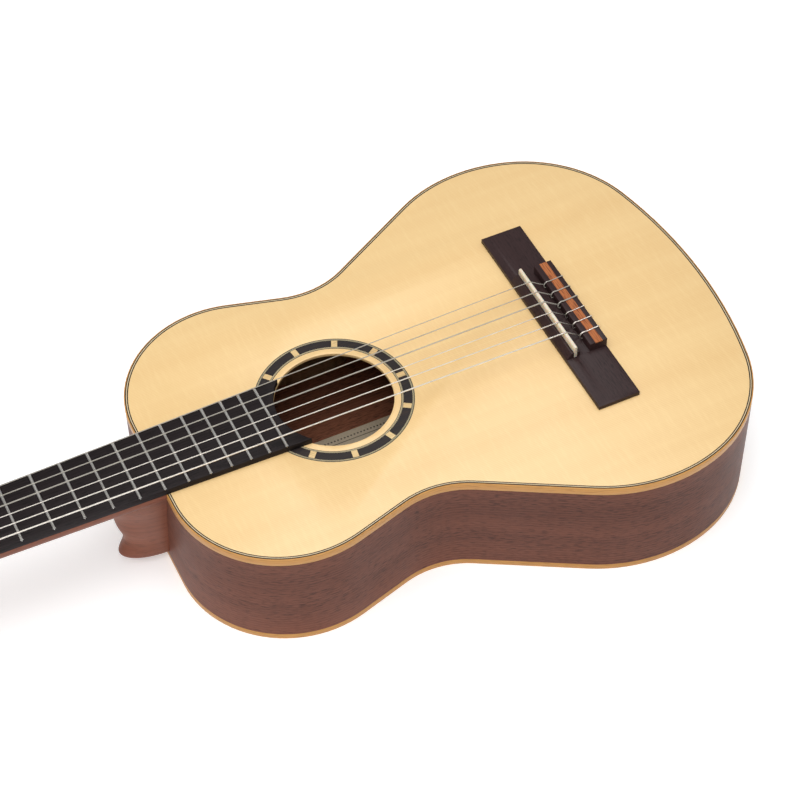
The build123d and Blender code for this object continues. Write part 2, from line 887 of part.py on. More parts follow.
with BuildPart() as screw:
    Cylinder(
        screw_shank_radius,
        screw_length + plate_thickness,
        rotation=(0, 90, 0),
        align=(Align.CENTER, Align.CENTER, Align.MAX),
    )
    Cylinder(
        screw_head_radius,
        screw_head_height,
        rotation=(0, 90, 0),
        align=(Align.CENTER, Align.CENTER, Align.MIN),
    )
    fillet(screw.edges().sort_by(Axis.X)[-1], radius=screw_head_rounding)
    with Locations((screw_head_height, 0, 0)):
        Box(screw_head_height, 3 * screw_head_radius, screw_drive_width, mode=Mode.SUBTRACT)

with BuildPart() as tuner_plate_screws:
    for place in screw_places:
        for side in (1, -1):
            with Locations(side_location(side, (plate_outer, place, -roller_depth))):
                add(screw.part)

# The worm stands on its own axis, with the middle of the gear at height zero.
button_top = -(head_thickness - roller_depth) - button_gap
shaft_bottom = button_top - button_collar_height - button_height / 2

with BuildPart() as worm_blank:
    with BuildLine() as thread_path:
        Helix(
            thread_pitch,
            thread_turns * thread_pitch,
            worm_core_radius,
            center=(0, 0, -thread_turns_below * thread_pitch),
        )
    with BuildSketch(
        Plane(origin=thread_path.line @ 0, x_dir=(1, 0, 0), z_dir=thread_path.line % 0)
    ):
        with BuildLine():
            root_half = thread_half + thread_slope * worm_dedendum
            tip_half = thread_half - thread_slope * worm_addendum
            depth = worm_radius - worm_core_radius
            Polyline(
                (-worm_root_overlap, -root_half),
                (depth, -tip_half),
                (depth, tip_half),
                (-worm_root_overlap, root_half),
                close=True,
            )
        make_face()
    sweep(path=thread_path.line, is_frenet=True)
    with Locations((0, 0, worm_end)):
        Cylinder(worm_core_radius, worm_end - shaft_bottom, align=(Align.CENTER, Align.CENTER, Align.MAX))

with BuildPart() as button_blank:
    with BuildSketch(Plane.YZ.offset(-button_thickness / 2)):
        with Locations((0, button_top - button_collar_height - button_height / 2)):
            RectangleRounded(button_width, button_height, button_corner)
    extrude(amount=button_thickness)
    fillet(button_blank.edges(), radius=button_rounding)
    with Locations((0, 0, button_top)):
        Cylinder(
            button_collar_radius,
            button_collar_height + button_rounding,
            align=(Align.CENTER, Align.CENTER, Align.MAX),
        )
        Cylinder(
            worm_core_radius,
            button_top - shaft_bottom,
            align=(Align.CENTER, Align.CENTER, Align.MAX),
            mode=Mode.SUBTRACT,
        )

with BuildPart() as gear_slot:
    with BuildSketch(
        Plane(
            origin=(0, 0, 0),
            x_dir=(sin(lead_angle), 0, -cos(lead_angle)),
            z_dir=(cos(lead_angle), 0, sin(lead_angle)),
        )
    ):
        with BuildLine():
            slot_root = gear_pitch_radius - gear_dedendum
            slot_tip = gear_pitch_radius + 2 * gear_addendum
            root_half = gear_slot_half - gear_slot_slope * gear_dedendum
            tip_half = gear_slot_half + gear_slot_slope * 2 * gear_addendum
            Polyline(
                (-root_half, slot_root),
                (root_half, slot_root),
                (tip_half, slot_tip),
                (-tip_half, slot_tip),
                close=True,
            )
        make_face()
    extrude(amount=gear_width, both=True)

with BuildPart() as gear_blank:
    Cylinder(gear_pitch_radius + gear_addendum, gear_width, rotation=(0, 90, 0))
    with Locations([Rotation(tooth * 360 / gear_teeth, 0, 0) for tooth in range(gear_teeth)]):
        add(gear_slot.part, mode=Mode.SUBTRACT)
    Cylinder(post_radius, 2 * gear_width, rotation=(0, 90, 0), mode=Mode.SUBTRACT)

with BuildPart() as gear_screw:
    with Locations((gear_width / 2 + gear_screw_gap, 0, 0)):
        Cylinder(
            gear_screw_radius,
            screw_head_height,
            rotation=(0, 90, 0),
            align=(Align.CENTER, Align.CENTER, Align.MIN),
        )
        Cylinder(
            screw_shank_radius,
            gear_width,
            rotation=(0, 90, 0),
            align=(Align.CENTER, Align.CENTER, Align.MAX),
        )
    with Locations((gear_width / 2 + screw_head_height, 0, 0)):
        Box(screw_head_height, 3 * gear_screw_radius, screw_drive_width, mode=Mode.SUBTRACT)

# Half of the string's bend over the saddle, as a slope.
saddle_break = tan(atan2(saddle_height - tie_hole_height, tie_block_front - tie_string_end) / 2)

# Strings 1 and 6 go to the rollers nearest the nut, 3 and 4 to the farthest.
tuner_rows = (0, 1, 2, 2, 1, 0)


def save(piece, name):
    """Label a finished piece and write its file."""
    piece.part.label = name
    export_step(piece.part, f"parts/{name}.step")


os.makedirs("parts", exist_ok=True)

for number, diameter in enumerate(string_diameters, 1):
    row = tuner_rows[number - 1]
    side = 1 if number <= 3 else -1
    axis_place = (0, roller_places[row], -roller_depth)
    tuner = side_location(side, axis_place)
    worm_local = (side * worm_x, axis_place[1] + centre_distance, -roller_depth)
    worm_place = head_plane.location * Location(worm_local)
    wound_radius = roller_radius + running_clearance + diameter / 2

    with BuildPart() as roller:
        with Locations(tuner):
            with Locations((bore_start + roller_end_gap, 0, 0)):
                Cylinder(
                    roller_radius,
                    side_x - bore_start - 2 * roller_end_gap,
                    rotation=(0, 90, 0),
                    align=(Align.CENTER, Align.CENTER, Align.MIN),
                )
            with Locations((side_x - roller_end_gap, 0, 0)):
                Cylinder(
                    axle_radius,
                    worm_x - gear_width / 2 - side_x + roller_end_gap,
                    rotation=(0, 90, 0),
                    align=(Align.CENTER, Align.CENTER, Align.MIN),
                )
            with Locations((worm_x - gear_width / 2, 0, 0)):
                Cylinder(
                    post_radius,
                    gear_width,
                    rotation=(0, 90, 0),
                    align=(Align.CENTER, Align.CENTER, Align.MIN),
                )
            with Locations((worm_x + gear_width / 2, 0, 0)):
                Cylinder(
                    screw_shank_radius,
                    gear_width,
                    rotation=(0, 90, 0),
                    align=(Align.CENTER, Align.CENTER, Align.MAX),
                    mode=Mode.SUBTRACT,
                )
            with Locations((roller_x[row], 0, 0)):
                Cylinder(string_hole_radius, 3 * roller_radius, mode=Mode.SUBTRACT)

    with BuildPart() as gear:
        with Locations(tuner):
            with Locations((worm_x, 0, 0)):
                add(gear_blank.part)
                add(gear_screw.part)

    with BuildPart() as worm:
        with Locations(worm_place):
            add(worm_blank.part)

    with BuildPart() as button:
        with Locations(worm_place):
            add(button_blank.part)

    saddle_bend = (saddle_thickness + diameter) / 2

    # The string runs from its hole in the tie block over the saddle and the nut to the top of its roller.
    saddle_x = string_offset(number, string_pitch_at_saddle)
    over_nut = Vector(
        string_offset(number, string_pitch_at_nut), ridge_back, string_base_at_nut + diameter / 2
    )
    nut_in_head = head_plane.to_local_coords(over_nut)
    rise = nut_in_head.Z + roller_depth
    run = nut_in_head.Y - axis_place[1]
    tangent_angle = atan2(rise, run) - acos(wound_radius / hypot(rise, run))
    route = (
        (saddle_x, bridge_back_y - tie_string_end, tie_hole_z),
        (saddle_x, tie_front_y + tie_string_end, tie_hole_z),
        (saddle_x, saddle_y - saddle_bend * saddle_break, top_z + saddle_height + diameter / 2 + string_lift),
        over_nut,
        head_point(
            side * roller_x[row],
            axis_place[1] + wound_radius * cos(tangent_angle),
            -roller_depth + wound_radius * sin(tangent_angle),
        ),
    )
    with BuildPart() as string:
        with BuildLine() as string_path:
            FilletPolyline(*route, radius=[tie_bend_radius, saddle_bend, nut_bend_radius])
        with BuildSketch(Plane(origin=string_path.line @ 0, z_dir=string_path.line % 0)):
            Circle(diameter / 2)
        sweep(path=string_path.line)
        with Locations(tuner):
            with Locations((roller_x[row] + diameter / 2 + string_clearance, 0, 0)):
                Cylinder(
                    wound_radius + diameter / 2,
                    winding_turns * diameter,
                    rotation=(0, 90, 0),
                    align=(Align.CENTER, Align.CENTER, Align.MIN),
                )
                Cylinder(
                    roller_radius + running_clearance,
                    winding_turns * diameter,
                    rotation=(0, 90, 0),
                    align=(Align.CENTER, Align.CENTER, Align.MIN),
                    mode=Mode.SUBTRACT,
                )

    save(roller, f"roller_{number}")
    save(gear, f"gear_{number}")
    save(worm, f"worm_{number}")
    save(button, f"button_{number}")
    save(string, f"string_{number}")

save(soundboard, "soundboard")
save(back_panel, "back_panel")
save(rib_bass, "rib_bass")
save(rib_treble, "rib_treble")
save(top_binding, "top_binding")
save(back_binding, "back_binding")
save(top_purfling, "top_purfling")
save(end_graft, "end_graft")
save(neck_block, "neck_block")
save(tail_block, "tail_block")
save(linings, "linings")
save(soundboard_braces, "soundboard_braces")
save(back_braces, "back_braces")
save(label, "label")
save(rosette_lines, "rosette_lines")
save(rosette_segments, "rosette_segments")
save(rosette_blocks, "rosette_blocks")
save(neck_shaft, "neck_shaft")
save(heel_block, "heel_block")
save(fingerboard, "fingerboard")
save(frets, "frets")
save(nut, "nut")
save(bridge, "bridge")
save(saddle, "saddle")
save(tie_block_inlay, "tie_block_inlay")
save(headstock, "headstock")
save(headstock_veneer, "headstock_veneer")
save(tuner_plate_treble, "tuner_plate_treble")
save(tuner_plate_bass, "tuner_plate_bass")
save(tuner_plate_screws, "tuner_plate_screws")
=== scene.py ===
"""A three-quarter size classical guitar lying on its back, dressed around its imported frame.

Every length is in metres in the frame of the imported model: +Y runs to the headstock, +X to the treble
strings, +Z out of the soundboard, and the origin is on the back under the middle of the soundhole.
"""

from __future__ import annotations

import json
import logging
from collections.abc import Callable, Sequence
from dataclasses import dataclass, field
from enum import Enum
from math import acos, atan2, cos, hypot, pi, radians, sin, tau

import bpy
from mathutils import Matrix, Vector

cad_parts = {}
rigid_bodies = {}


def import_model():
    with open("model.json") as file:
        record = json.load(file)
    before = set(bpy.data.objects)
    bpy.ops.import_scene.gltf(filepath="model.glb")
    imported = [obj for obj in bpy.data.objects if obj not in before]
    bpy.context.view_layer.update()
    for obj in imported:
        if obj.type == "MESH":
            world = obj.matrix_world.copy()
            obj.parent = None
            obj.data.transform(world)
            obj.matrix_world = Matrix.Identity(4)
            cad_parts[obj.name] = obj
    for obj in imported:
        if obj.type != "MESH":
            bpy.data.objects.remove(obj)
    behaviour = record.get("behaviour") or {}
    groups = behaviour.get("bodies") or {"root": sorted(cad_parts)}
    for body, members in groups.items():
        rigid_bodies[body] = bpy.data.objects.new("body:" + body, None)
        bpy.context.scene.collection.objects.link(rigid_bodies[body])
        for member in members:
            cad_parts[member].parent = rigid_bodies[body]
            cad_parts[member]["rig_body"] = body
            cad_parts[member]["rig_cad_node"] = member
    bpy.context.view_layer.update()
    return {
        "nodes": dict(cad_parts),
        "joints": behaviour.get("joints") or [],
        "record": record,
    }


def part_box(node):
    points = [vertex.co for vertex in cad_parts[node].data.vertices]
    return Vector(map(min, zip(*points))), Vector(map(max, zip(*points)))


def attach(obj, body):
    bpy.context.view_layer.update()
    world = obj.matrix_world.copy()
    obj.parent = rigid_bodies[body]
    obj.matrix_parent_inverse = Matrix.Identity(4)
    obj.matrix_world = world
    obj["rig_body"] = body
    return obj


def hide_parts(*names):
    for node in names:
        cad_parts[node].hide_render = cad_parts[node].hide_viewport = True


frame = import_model()

LOG = logging.getLogger("guitar")
MM = 0.001
MERGE_DISTANCE = 0.002 * MM
FLAT_ANGLE = radians(0.3)
EDGE_ANGLE = radians(32.0)
LEVEL_NORMAL = 0.99
TUBE_ROUNDNESS = 2
TUBE_STEPS = 5

Colour = tuple[float, float, float]
Value = bpy.types.NodeSocket | float | Sequence[float]


# ------------------------------------------------------------------------------------ shader helpers
class Graph:
    """Short calls for adding nodes to one shader tree and joining them."""

    MIX_FACTOR, MIX_FIRST, MIX_SECOND, MIX_RESULT = 0, 6, 7, 2

    def __init__(self, tree: bpy.types.NodeTree) -> None:
        """Keep the tree that the nodes go into."""
        self.tree = tree

    def feed(self, socket: bpy.types.NodeSocket, value: Value) -> None:
        """Join a socket to another one, or set its own value.

        Args:
            socket: The input to feed.
            value: An output socket, a number or a tuple of numbers.
        """
        if isinstance(value, bpy.types.NodeSocket):
            self.tree.links.new(value, socket)
        else:
            socket.default_value = value

    def node(
        self, kind: str, inputs: dict[str | int, Value] | None = None, **settings: object
    ) -> bpy.types.Node:
        """Add a node.

        Args:
            kind: The node's type name.
            inputs: Values or sockets for its inputs, by name or number.
            settings: Properties of the node itself.

        Returns:
            The new node.
        """
        made = self.tree.nodes.new(kind)
        for name, setting in settings.items():
            setattr(made, name, setting)
        for name, value in (inputs or {}).items():
            self.feed(made.inputs[name], value)
        return made

    def math(self, operation: str, *values: Value) -> bpy.types.NodeSocket:
        """Add a math node and return its result."""
        return self.node("ShaderNodeMath", dict(enumerate(values)), operation=operation).outputs[0]

    def spread(
        self, value: Value, low: float, high: float, to_low: float = 0.0, to_high: float = 1.0
    ) -> bpy.types.NodeSocket:
        """Map a range of values smoothly onto another and return the result."""
        inputs = {"Value": value, "From Min": low, "From Max": high, "To Min": to_low, "To Max": to_high}
        return self.node("ShaderNodeMapRange", inputs, interpolation_type="SMOOTHSTEP").outputs["Result"]

    def noise(
        self, vector: Value, scale: Value, detail: float = 2.0, roughness: float = 0.5
    ) -> bpy.types.NodeSocket:
        """Add a noise texture and return its factor."""
        inputs = {"Vector": vector, "Scale": scale, "Detail": detail, "Roughness": roughness}
        return self.node("ShaderNodeTexNoise", inputs).outputs["Fac"]

    def stretch(
        self, vector: Value, scale: Sequence[float], turn: Sequence[float] = (0, 0, 0)
    ) -> bpy.types.NodeSocket:
        """Scale a vector along each axis, then turn it, and return the result."""
        inputs = {"Vector": vector, "Scale": tuple(scale), "Rotation": tuple(turn)}
        return self.node("ShaderNodeMapping", inputs).outputs["Vector"]

    def mix(self, factor: Value, first: Value, second: Value) -> bpy.types.NodeSocket:
        """Mix two colours and return the result."""
        inputs = {self.MIX_FACTOR: factor, self.MIX_FIRST: opaque(first), self.MIX_SECOND: opaque(second)}
        return self.node("ShaderNodeMix", inputs, data_type="RGBA").outputs[self.MIX_RESULT]

    def bands(self, factor: Value, stops: Sequence[tuple[float, Colour]]) -> bpy.types.NodeSocket:
        """Colour a factor in bands with hard edges.

        Args:
            factor: The value that picks the band.
            stops: Where each band starts, and its colour.

        Returns:
            The colour.
        """
        made = self.node("ShaderNodeValToRGB", {"Fac": factor})
        ramp = made.color_ramp
        ramp.interpolation = "CONSTANT"
        given = len(ramp.elements)
        for number, (place, colour) in enumerate(stops):
            stop = ramp.elements[number] if number < given else ramp.elements.new(place)
            stop.position = place
            stop.color = (*colour, 1.0)
        return made.outputs["Color"]

    def group(self, tree: bpy.types.NodeTree, inputs: dict[str, Value]) -> bpy.types.Node:
        """Place a shared effect and feed its inputs."""
        made = self.node("ShaderNodeGroup", node_tree=tree)
        for name, value in inputs.items():
            self.feed(made.inputs[name], value)
        return made


def opaque(value: Value) -> Value:
    """A colour of three numbers with its alpha added, or the socket or colour as it is."""
    if isinstance(value, tuple) and len(value) == 3:
        return (*value, 1.0)
    return value


# ------------------------------------------------------------------------------------ shared effects
class Effect:
    """A node group with named inputs and outputs, built once and placed in many materials."""

    SOCKETS = {"vector": "NodeSocketVector", "value": "NodeSocketFloat"}

    def __init__(self, name: str, inputs: dict[str, str], outputs: Sequence[str]) -> None:
        """Open the group.

        Args:
            name: The group's name.
            inputs: The name and kind of each input.
            outputs: The name of each output value.
        """
        self.tree = bpy.data.node_groups.new(name, "ShaderNodeTree")
        for label, kind in inputs.items():
            self.tree.interface.new_socket(label, in_out="INPUT", socket_type=self.SOCKETS[kind])
        for label in outputs:
            self.tree.interface.new_socket(label, in_out="OUTPUT", socket_type="NodeSocketFloat")
        self.graph = Graph(self.tree)
        self.inputs = self.tree.nodes.new("NodeGroupInput").outputs
        self.outputs = self.tree.nodes.new("NodeGroupOutput").inputs


def wood_figure() -> bpy.types.NodeTree:
    """Growth rings across X, with the broad changes of tone of a board.

    Returns:
        A group with the inputs Grain Space, Ring Width and Waver, and the outputs Rings and Tone.
    """
    kinds = {"Grain Space": "vector", "Ring Width": "value", "Waver": "value"}
    effect = Effect("wood_figure", kinds, ("Rings", "Tone"))
    graph = effect.graph
    space = effect.inputs["Grain Space"]
    wide_scale, close_scale, close_share = 9.0, 60.0, 0.15
    summer_growth, winter_edge = (0.35, 0.88), (0.90, 1.0, 1.0, 0.0)
    break_scale, break_range = 140.0, (0.25, 0.7, 0.35, 1.0)
    tone_noise, tone_range = (26.0, 4.0, 0.6), (0.3, 0.7)
    wide = graph.noise(space, wide_scale)
    close = graph.noise(space, close_scale)
    drift = graph.math("MULTIPLY_ADD", close, close_share, wide)
    across = graph.node("ShaderNodeSeparateXYZ", {0: space}).outputs["X"]
    bent = graph.math("MULTIPLY_ADD", drift, effect.inputs["Waver"], across)
    turns = graph.math("DIVIDE", bent, effect.inputs["Ring Width"])
    phase = graph.math("FRACT", turns)
    summer = graph.spread(phase, *summer_growth)
    winter = graph.spread(phase, *winter_edge)
    uneven = graph.spread(graph.noise(space, break_scale, 1.0), *break_range)
    line = graph.math("MULTIPLY", summer, winter)
    graph.feed(effect.outputs["Rings"], graph.math("MULTIPLY", line, uneven))
    graph.feed(effect.outputs["Tone"], graph.spread(graph.noise(space, *tone_noise), *tone_range))
    return effect.tree


def wood_pores() -> bpy.types.NodeTree:
    """Short dark pores that run along the grain.

    Returns:
        A group with the inputs Grain Space, Fineness and Amount, and the output Pores.
    """
    kinds = {"Grain Space": "vector", "Fineness": "value", "Amount": "value"}
    effect = Effect("wood_pores", kinds, ("Pores",))
    graph = effect.graph
    space = effect.inputs["Grain Space"]
    dot_detail, dot_roughness = 1.0, 0.4
    crowd_scale, crowd_share, pore_edge = 45.0, 0.35, (0.70, 0.86)
    dots = graph.noise(space, effect.inputs["Fineness"], dot_detail, dot_roughness)
    crowd = graph.noise(space, crowd_scale)
    level = graph.math("MULTIPLY_ADD", crowd, crowd_share, dots)
    mask = graph.spread(level, *pore_edge)
    graph.feed(effect.outputs["Pores"], graph.math("MULTIPLY", mask, effect.inputs["Amount"]))
    return effect.tree


def handling() -> bpy.types.NodeTree:
    """The uneven gloss that sanding, polish and hands leave on a surface.

    Returns:
        A group with the inputs Place, Roughness and Spread, and the outputs Roughness and Height.
    """
    kinds = {"Place": "vector", "Roughness": "value", "Spread": "value"}
    effect = Effect("handling", kinds, ("Roughness", "Height"))
    graph = effect.graph
    place = effect.inputs["Place"]
    smudge_noise, smudge_middle = (22.0, 4.0, 0.62), 0.5
    ripple_scale, ripple_share = 260.0, 0.5
    smudge = graph.noise(place, *smudge_noise)
    ripple = graph.noise(place, ripple_scale)
    centred = graph.math("SUBTRACT", smudge, smudge_middle)
    shift = graph.math("MULTIPLY", centred, effect.inputs["Spread"])
    graph.feed(effect.outputs["Roughness"], graph.math("ADD", shift, effect.inputs["Roughness"]))
    graph.feed(effect.outputs["Height"], graph.math("MULTIPLY_ADD", ripple, ripple_share, smudge))
    return effect.tree


def scratches() -> bpy.types.NodeTree:
    """Fine crossing scratches of metal that has been polished and used.

    Returns:
        A group with the input Place and the output Scratches.
    """
    effect = Effect("scratches", {"Place": "vector"}, ("Scratches",))
    graph = effect.graph
    strokes = (((2400, 90, 900), 0.5), ((90, 2100, 900), -0.7), ((1500, 300, 1300), 1.2))
    hair_edge = (0.62, 0.72)
    total: Value = 0.0
    for scale, turn in strokes:
        hairs = graph.noise(graph.stretch(effect.inputs["Place"], scale, (0, 0, turn)), 1.0, 1.0)
        total = graph.math("ADD", total, graph.spread(hairs, *hair_edge))
    graph.feed(effect.outputs["Scratches"], total)
    return effect.tree


@dataclass(frozen=True)
class Effects:
    """The groups that the finishes share."""

    figure: bpy.types.NodeTree
    pores: bpy.types.NodeTree
    handling: bpy.types.NodeTree
    scratches: bpy.types.NodeTree

    @classmethod
    def build(cls) -> Effects:
        """Build every shared group once."""
        return cls(wood_figure(), wood_pores(), handling(), scratches())


# ------------------------------------------------------------------------------------ finishes
class Grain(Enum):
    """Which way the grain of a piece runs: how its space is squeezed, and turned until X lies across it."""

    ALONG_NECK = ((1.0, 0.0, 1.0), (0.0, 0.0, 0.0))
    ACROSS_BODY = ((0.0, 1.0, 1.0), (0.0, 0.0, pi / 2))
    ROUND_RIM = ((0.0, 0.0, 1.0), (0.0, pi / 2, 0.0))
    UPRIGHT = ((1.0, 1.0, 0.0), (pi / 2, 0.0, 0.0))

    def squeeze(self, length: float) -> tuple[float, float, float]:
        """The scale that draws the pattern out along the grain by this many times."""
        return tuple(1.0 if share else 1.0 / length for share in self.value[0])

    @property
    def turn(self) -> tuple[float, float, float]:
        """The turn that brings the grain's across direction to X."""
        return self.value[1]


@dataclass(frozen=True)
class Finish:
    """What every finish has: a name, its gloss and the unevenness of that gloss."""

    name: str
    roughness: float = 0.4
    gloss_spread: float = 0.25
    ripple: float = 0.02
    relief_strength: float = 0.6

    def build(self, effects: Effects) -> bpy.types.Material:
        """Make the material, which each kind of finish does in its own way.

        Args:
            effects: The shared groups.

        Returns:
            The material.
        """
        raise NotImplementedError

    def open(self) -> tuple[bpy.types.Material, Graph, bpy.types.Node, bpy.types.NodeSocket]:
        """Make the material.

        Returns:
            The material, its graph, its main shader and the object coordinates.
        """
        material = bpy.data.materials.new(self.name)
        material.use_nodes = True
        graph = Graph(material.node_tree)
        shader = material.node_tree.nodes["Principled BSDF"]
        place = graph.node("ShaderNodeTexCoord").outputs["Object"]
        return material, graph, shader, place

    def surface(
        self,
        graph: Graph,
        shader: bpy.types.Node,
        place: Value,
        effects: Effects,
        relief: Value = 0.0,
        depth: float = 0.03 * MM,
    ) -> None:
        """Give the shader its uneven gloss and its relief.

        Args:
            graph: The material's graph.
            shader: Its main shader.
            place: The coordinates of the surface.
            effects: The shared groups.
            relief: Height of the surface's own pattern, from 0 to 1.
            depth: Depth of that pattern.
        """
        gloss = {"Place": place, "Roughness": self.roughness, "Spread": self.gloss_spread}
        worn = graph.group(effects.handling, gloss)
        graph.feed(shader.inputs["Roughness"], worn.outputs["Roughness"])
        height = graph.math("MULTIPLY_ADD", worn.outputs["Height"], self.ripple, relief)
        inputs = {"Strength": self.relief_strength, "Distance": depth, "Height": height}
        bump = graph.node("ShaderNodeBump", inputs)
        graph.feed(shader.inputs["Normal"], bump.outputs["Normal"])


@dataclass(frozen=True)
class Wood(Finish):
    """A wood with rings, pores, broad tone and, on spruce, the silk that crosses the grain."""

    light: Colour = (0.5, 0.3, 0.15)
    dark: Colour = (0.3, 0.15, 0.08)
    pore_colour: Colour = (0.05, 0.03, 0.02)
    grain: Grain = Grain.ALONG_NECK
    length: float = 18.0
    ring_width: float = 2.0 * MM
    waver: float = 4.0 * MM
    ring_strength: float = 0.6
    tone_strength: float = 0.4
    silk: float = 0.0
    silk_stretch: Sequence[float] = (60, 420, 60)
    silk_edge: tuple[float, float] = (0.45, 0.75)
    pore_fineness: float = 1500.0
    pore_length: float = 14.0
    pore_amount: float = 0.5
    lacquer: float = 0.3
    lacquer_roughness: float = 0.25
    specular: float = 0.5
    matched: bool = False
    ring_relief: float = -0.4
    pore_relief: float = -1.0

    def build(self, effects: Effects) -> bpy.types.Material:
        """Make the material.

        Args:
            effects: The shared groups.

        Returns:
            The material.
        """
        material, graph, shader, place = self.open()
        board = place
        if self.matched:
            parts = graph.node("ShaderNodeSeparateXYZ", {0: place}).outputs
            halves = {"X": graph.math("ABSOLUTE", parts["X"]), "Y": parts["Y"], "Z": parts["Z"]}
            board = graph.node("ShaderNodeCombineXYZ", halves).outputs[0]
        space = graph.stretch(board, self.grain.squeeze(self.length), self.grain.turn)
        rings = {"Grain Space": space, "Ring Width": self.ring_width, "Waver": self.waver}
        figure = graph.group(effects.figure, rings)
        tone = graph.math("MULTIPLY", figure.outputs["Tone"], self.tone_strength)
        shade = graph.math("MULTIPLY_ADD", figure.outputs["Rings"], self.ring_strength, tone)
        if self.silk:
            flecks = graph.noise(graph.stretch(board, self.silk_stretch), 1.0, 3.0)
            sheen = graph.spread(flecks, *self.silk_edge)
            shade = graph.math("MULTIPLY_ADD", sheen, -self.silk, shade)
        colour = graph.mix(shade, self.light, self.dark)
        pore_space = graph.stretch(board, self.grain.squeeze(self.pore_length), self.grain.turn)
        pores = {"Grain Space": pore_space, "Fineness": self.pore_fineness, "Amount": self.pore_amount}
        mask = graph.group(effects.pores, pores).outputs["Pores"]
        graph.feed(shader.inputs["Base Color"], graph.mix(mask, colour, self.pore_colour))
        shader.inputs["Coat Weight"].default_value = self.lacquer
        shader.inputs["Coat Roughness"].default_value = self.lacquer_roughness
        shader.inputs["Specular IOR Level"].default_value = self.specular
        pits = graph.math("MULTIPLY", mask, self.pore_relief)
        relief = graph.math("MULTIPLY_ADD", figure.outputs["Rings"], self.ring_relief, pits)
        self.surface(graph, shader, place, effects, relief)
        return material


@dataclass(frozen=True)
class Metal(Finish):
    """Plated, cast or drawn metal, with fine scratches, slightly dull patches and, on wound strings,
    painted shade in the grooves between the turns.
    """

    colour: Colour = (0.7, 0.7, 0.7)
    dull: Colour = (0.5, 0.5, 0.5)
    scratch_depth: float = 0.01 * MM
    scratch_relief: float = -0.3
    patch_noise: tuple[float, float, float] = (90.0, 4.0, 0.6)
    patch_edge: tuple[float, float] = (0.35, 0.75)
    winding: float = 0.0
    winding_ridge: tuple[float, float] = (-1.0, 0.6)
    # Painted shade: the first setting picks out the grooves between the winding's turns, and the second is
    # the dark colour painted into them.
    winding_groove_shade: tuple[float, float, float, float] = (-1.0, -0.4, 0.25, 0.0)
    groove_shade_colour: Colour = (0.20, 0.19, 0.18)

    def build(self, effects: Effects) -> bpy.types.Material:
        """Make the material.

        Args:
            effects: The shared groups.

        Returns:
            The material.
        """
        material, graph, shader, place = self.open()
        shader.inputs["Metallic"].default_value = 1.0
        marks = graph.group(effects.scratches, {"Place": place}).outputs["Scratches"]
        patches = graph.spread(graph.noise(place, *self.patch_noise), *self.patch_edge)
        colour = graph.mix(patches, self.colour, self.dull)
        relief = graph.math("MULTIPLY", marks, self.scratch_relief)
        if self.winding:
            along = graph.node("ShaderNodeSeparateXYZ", {0: place}).outputs["Y"]
            wave = graph.math("SINE", graph.math("MULTIPLY", along, tau / self.winding))
            ridge = graph.spread(wave, *self.winding_ridge)
            # Painted shade: the grooves between the winding's turns are darkened in the base colour.
            colour = graph.mix(graph.spread(wave, *self.winding_groove_shade), colour, self.groove_shade_colour)
            relief = graph.math("ADD", relief, ridge)
        graph.feed(shader.inputs["Base Color"], colour)
        self.surface(graph, shader, place, effects, relief, self.scratch_depth)
        return material


@dataclass(frozen=True)
class Plain(Finish):
    """Bone, plastic or nylon: two close tones that cloud into each other, and some depth."""

    colour: Colour = (0.8, 0.8, 0.8)
    cloud: Colour = (0.7, 0.7, 0.7)
    cloud_scale: Sequence[float] = (60.0, 60.0, 60.0)
    cloud_noise: tuple[float, float, float] = (1.0, 5.0, 0.6)
    cloud_edge: tuple[float, float] = (0.3, 0.7)
    depth: float = 0.0
    clear: float = 0.0
    lacquer: float = 0.2

    def build(self, effects: Effects) -> bpy.types.Material:
        """Make the material.

        Args:
            effects: The shared groups.

        Returns:
            The material.
        """
        material, graph, shader, place = self.open()
        swirl = graph.noise(graph.stretch(place, self.cloud_scale), *self.cloud_noise)
        colour = graph.mix(graph.spread(swirl, *self.cloud_edge), self.colour, self.cloud)
        graph.feed(shader.inputs["Base Color"], colour)
        shader.inputs["Subsurface Weight"].default_value = self.depth
        shader.inputs["Subsurface Scale"].default_value = MM
        shader.inputs["Transmission Weight"].default_value = self.clear
        shader.inputs["Coat Weight"].default_value = self.lacquer
        self.surface(graph, shader, place, effects)
        return material


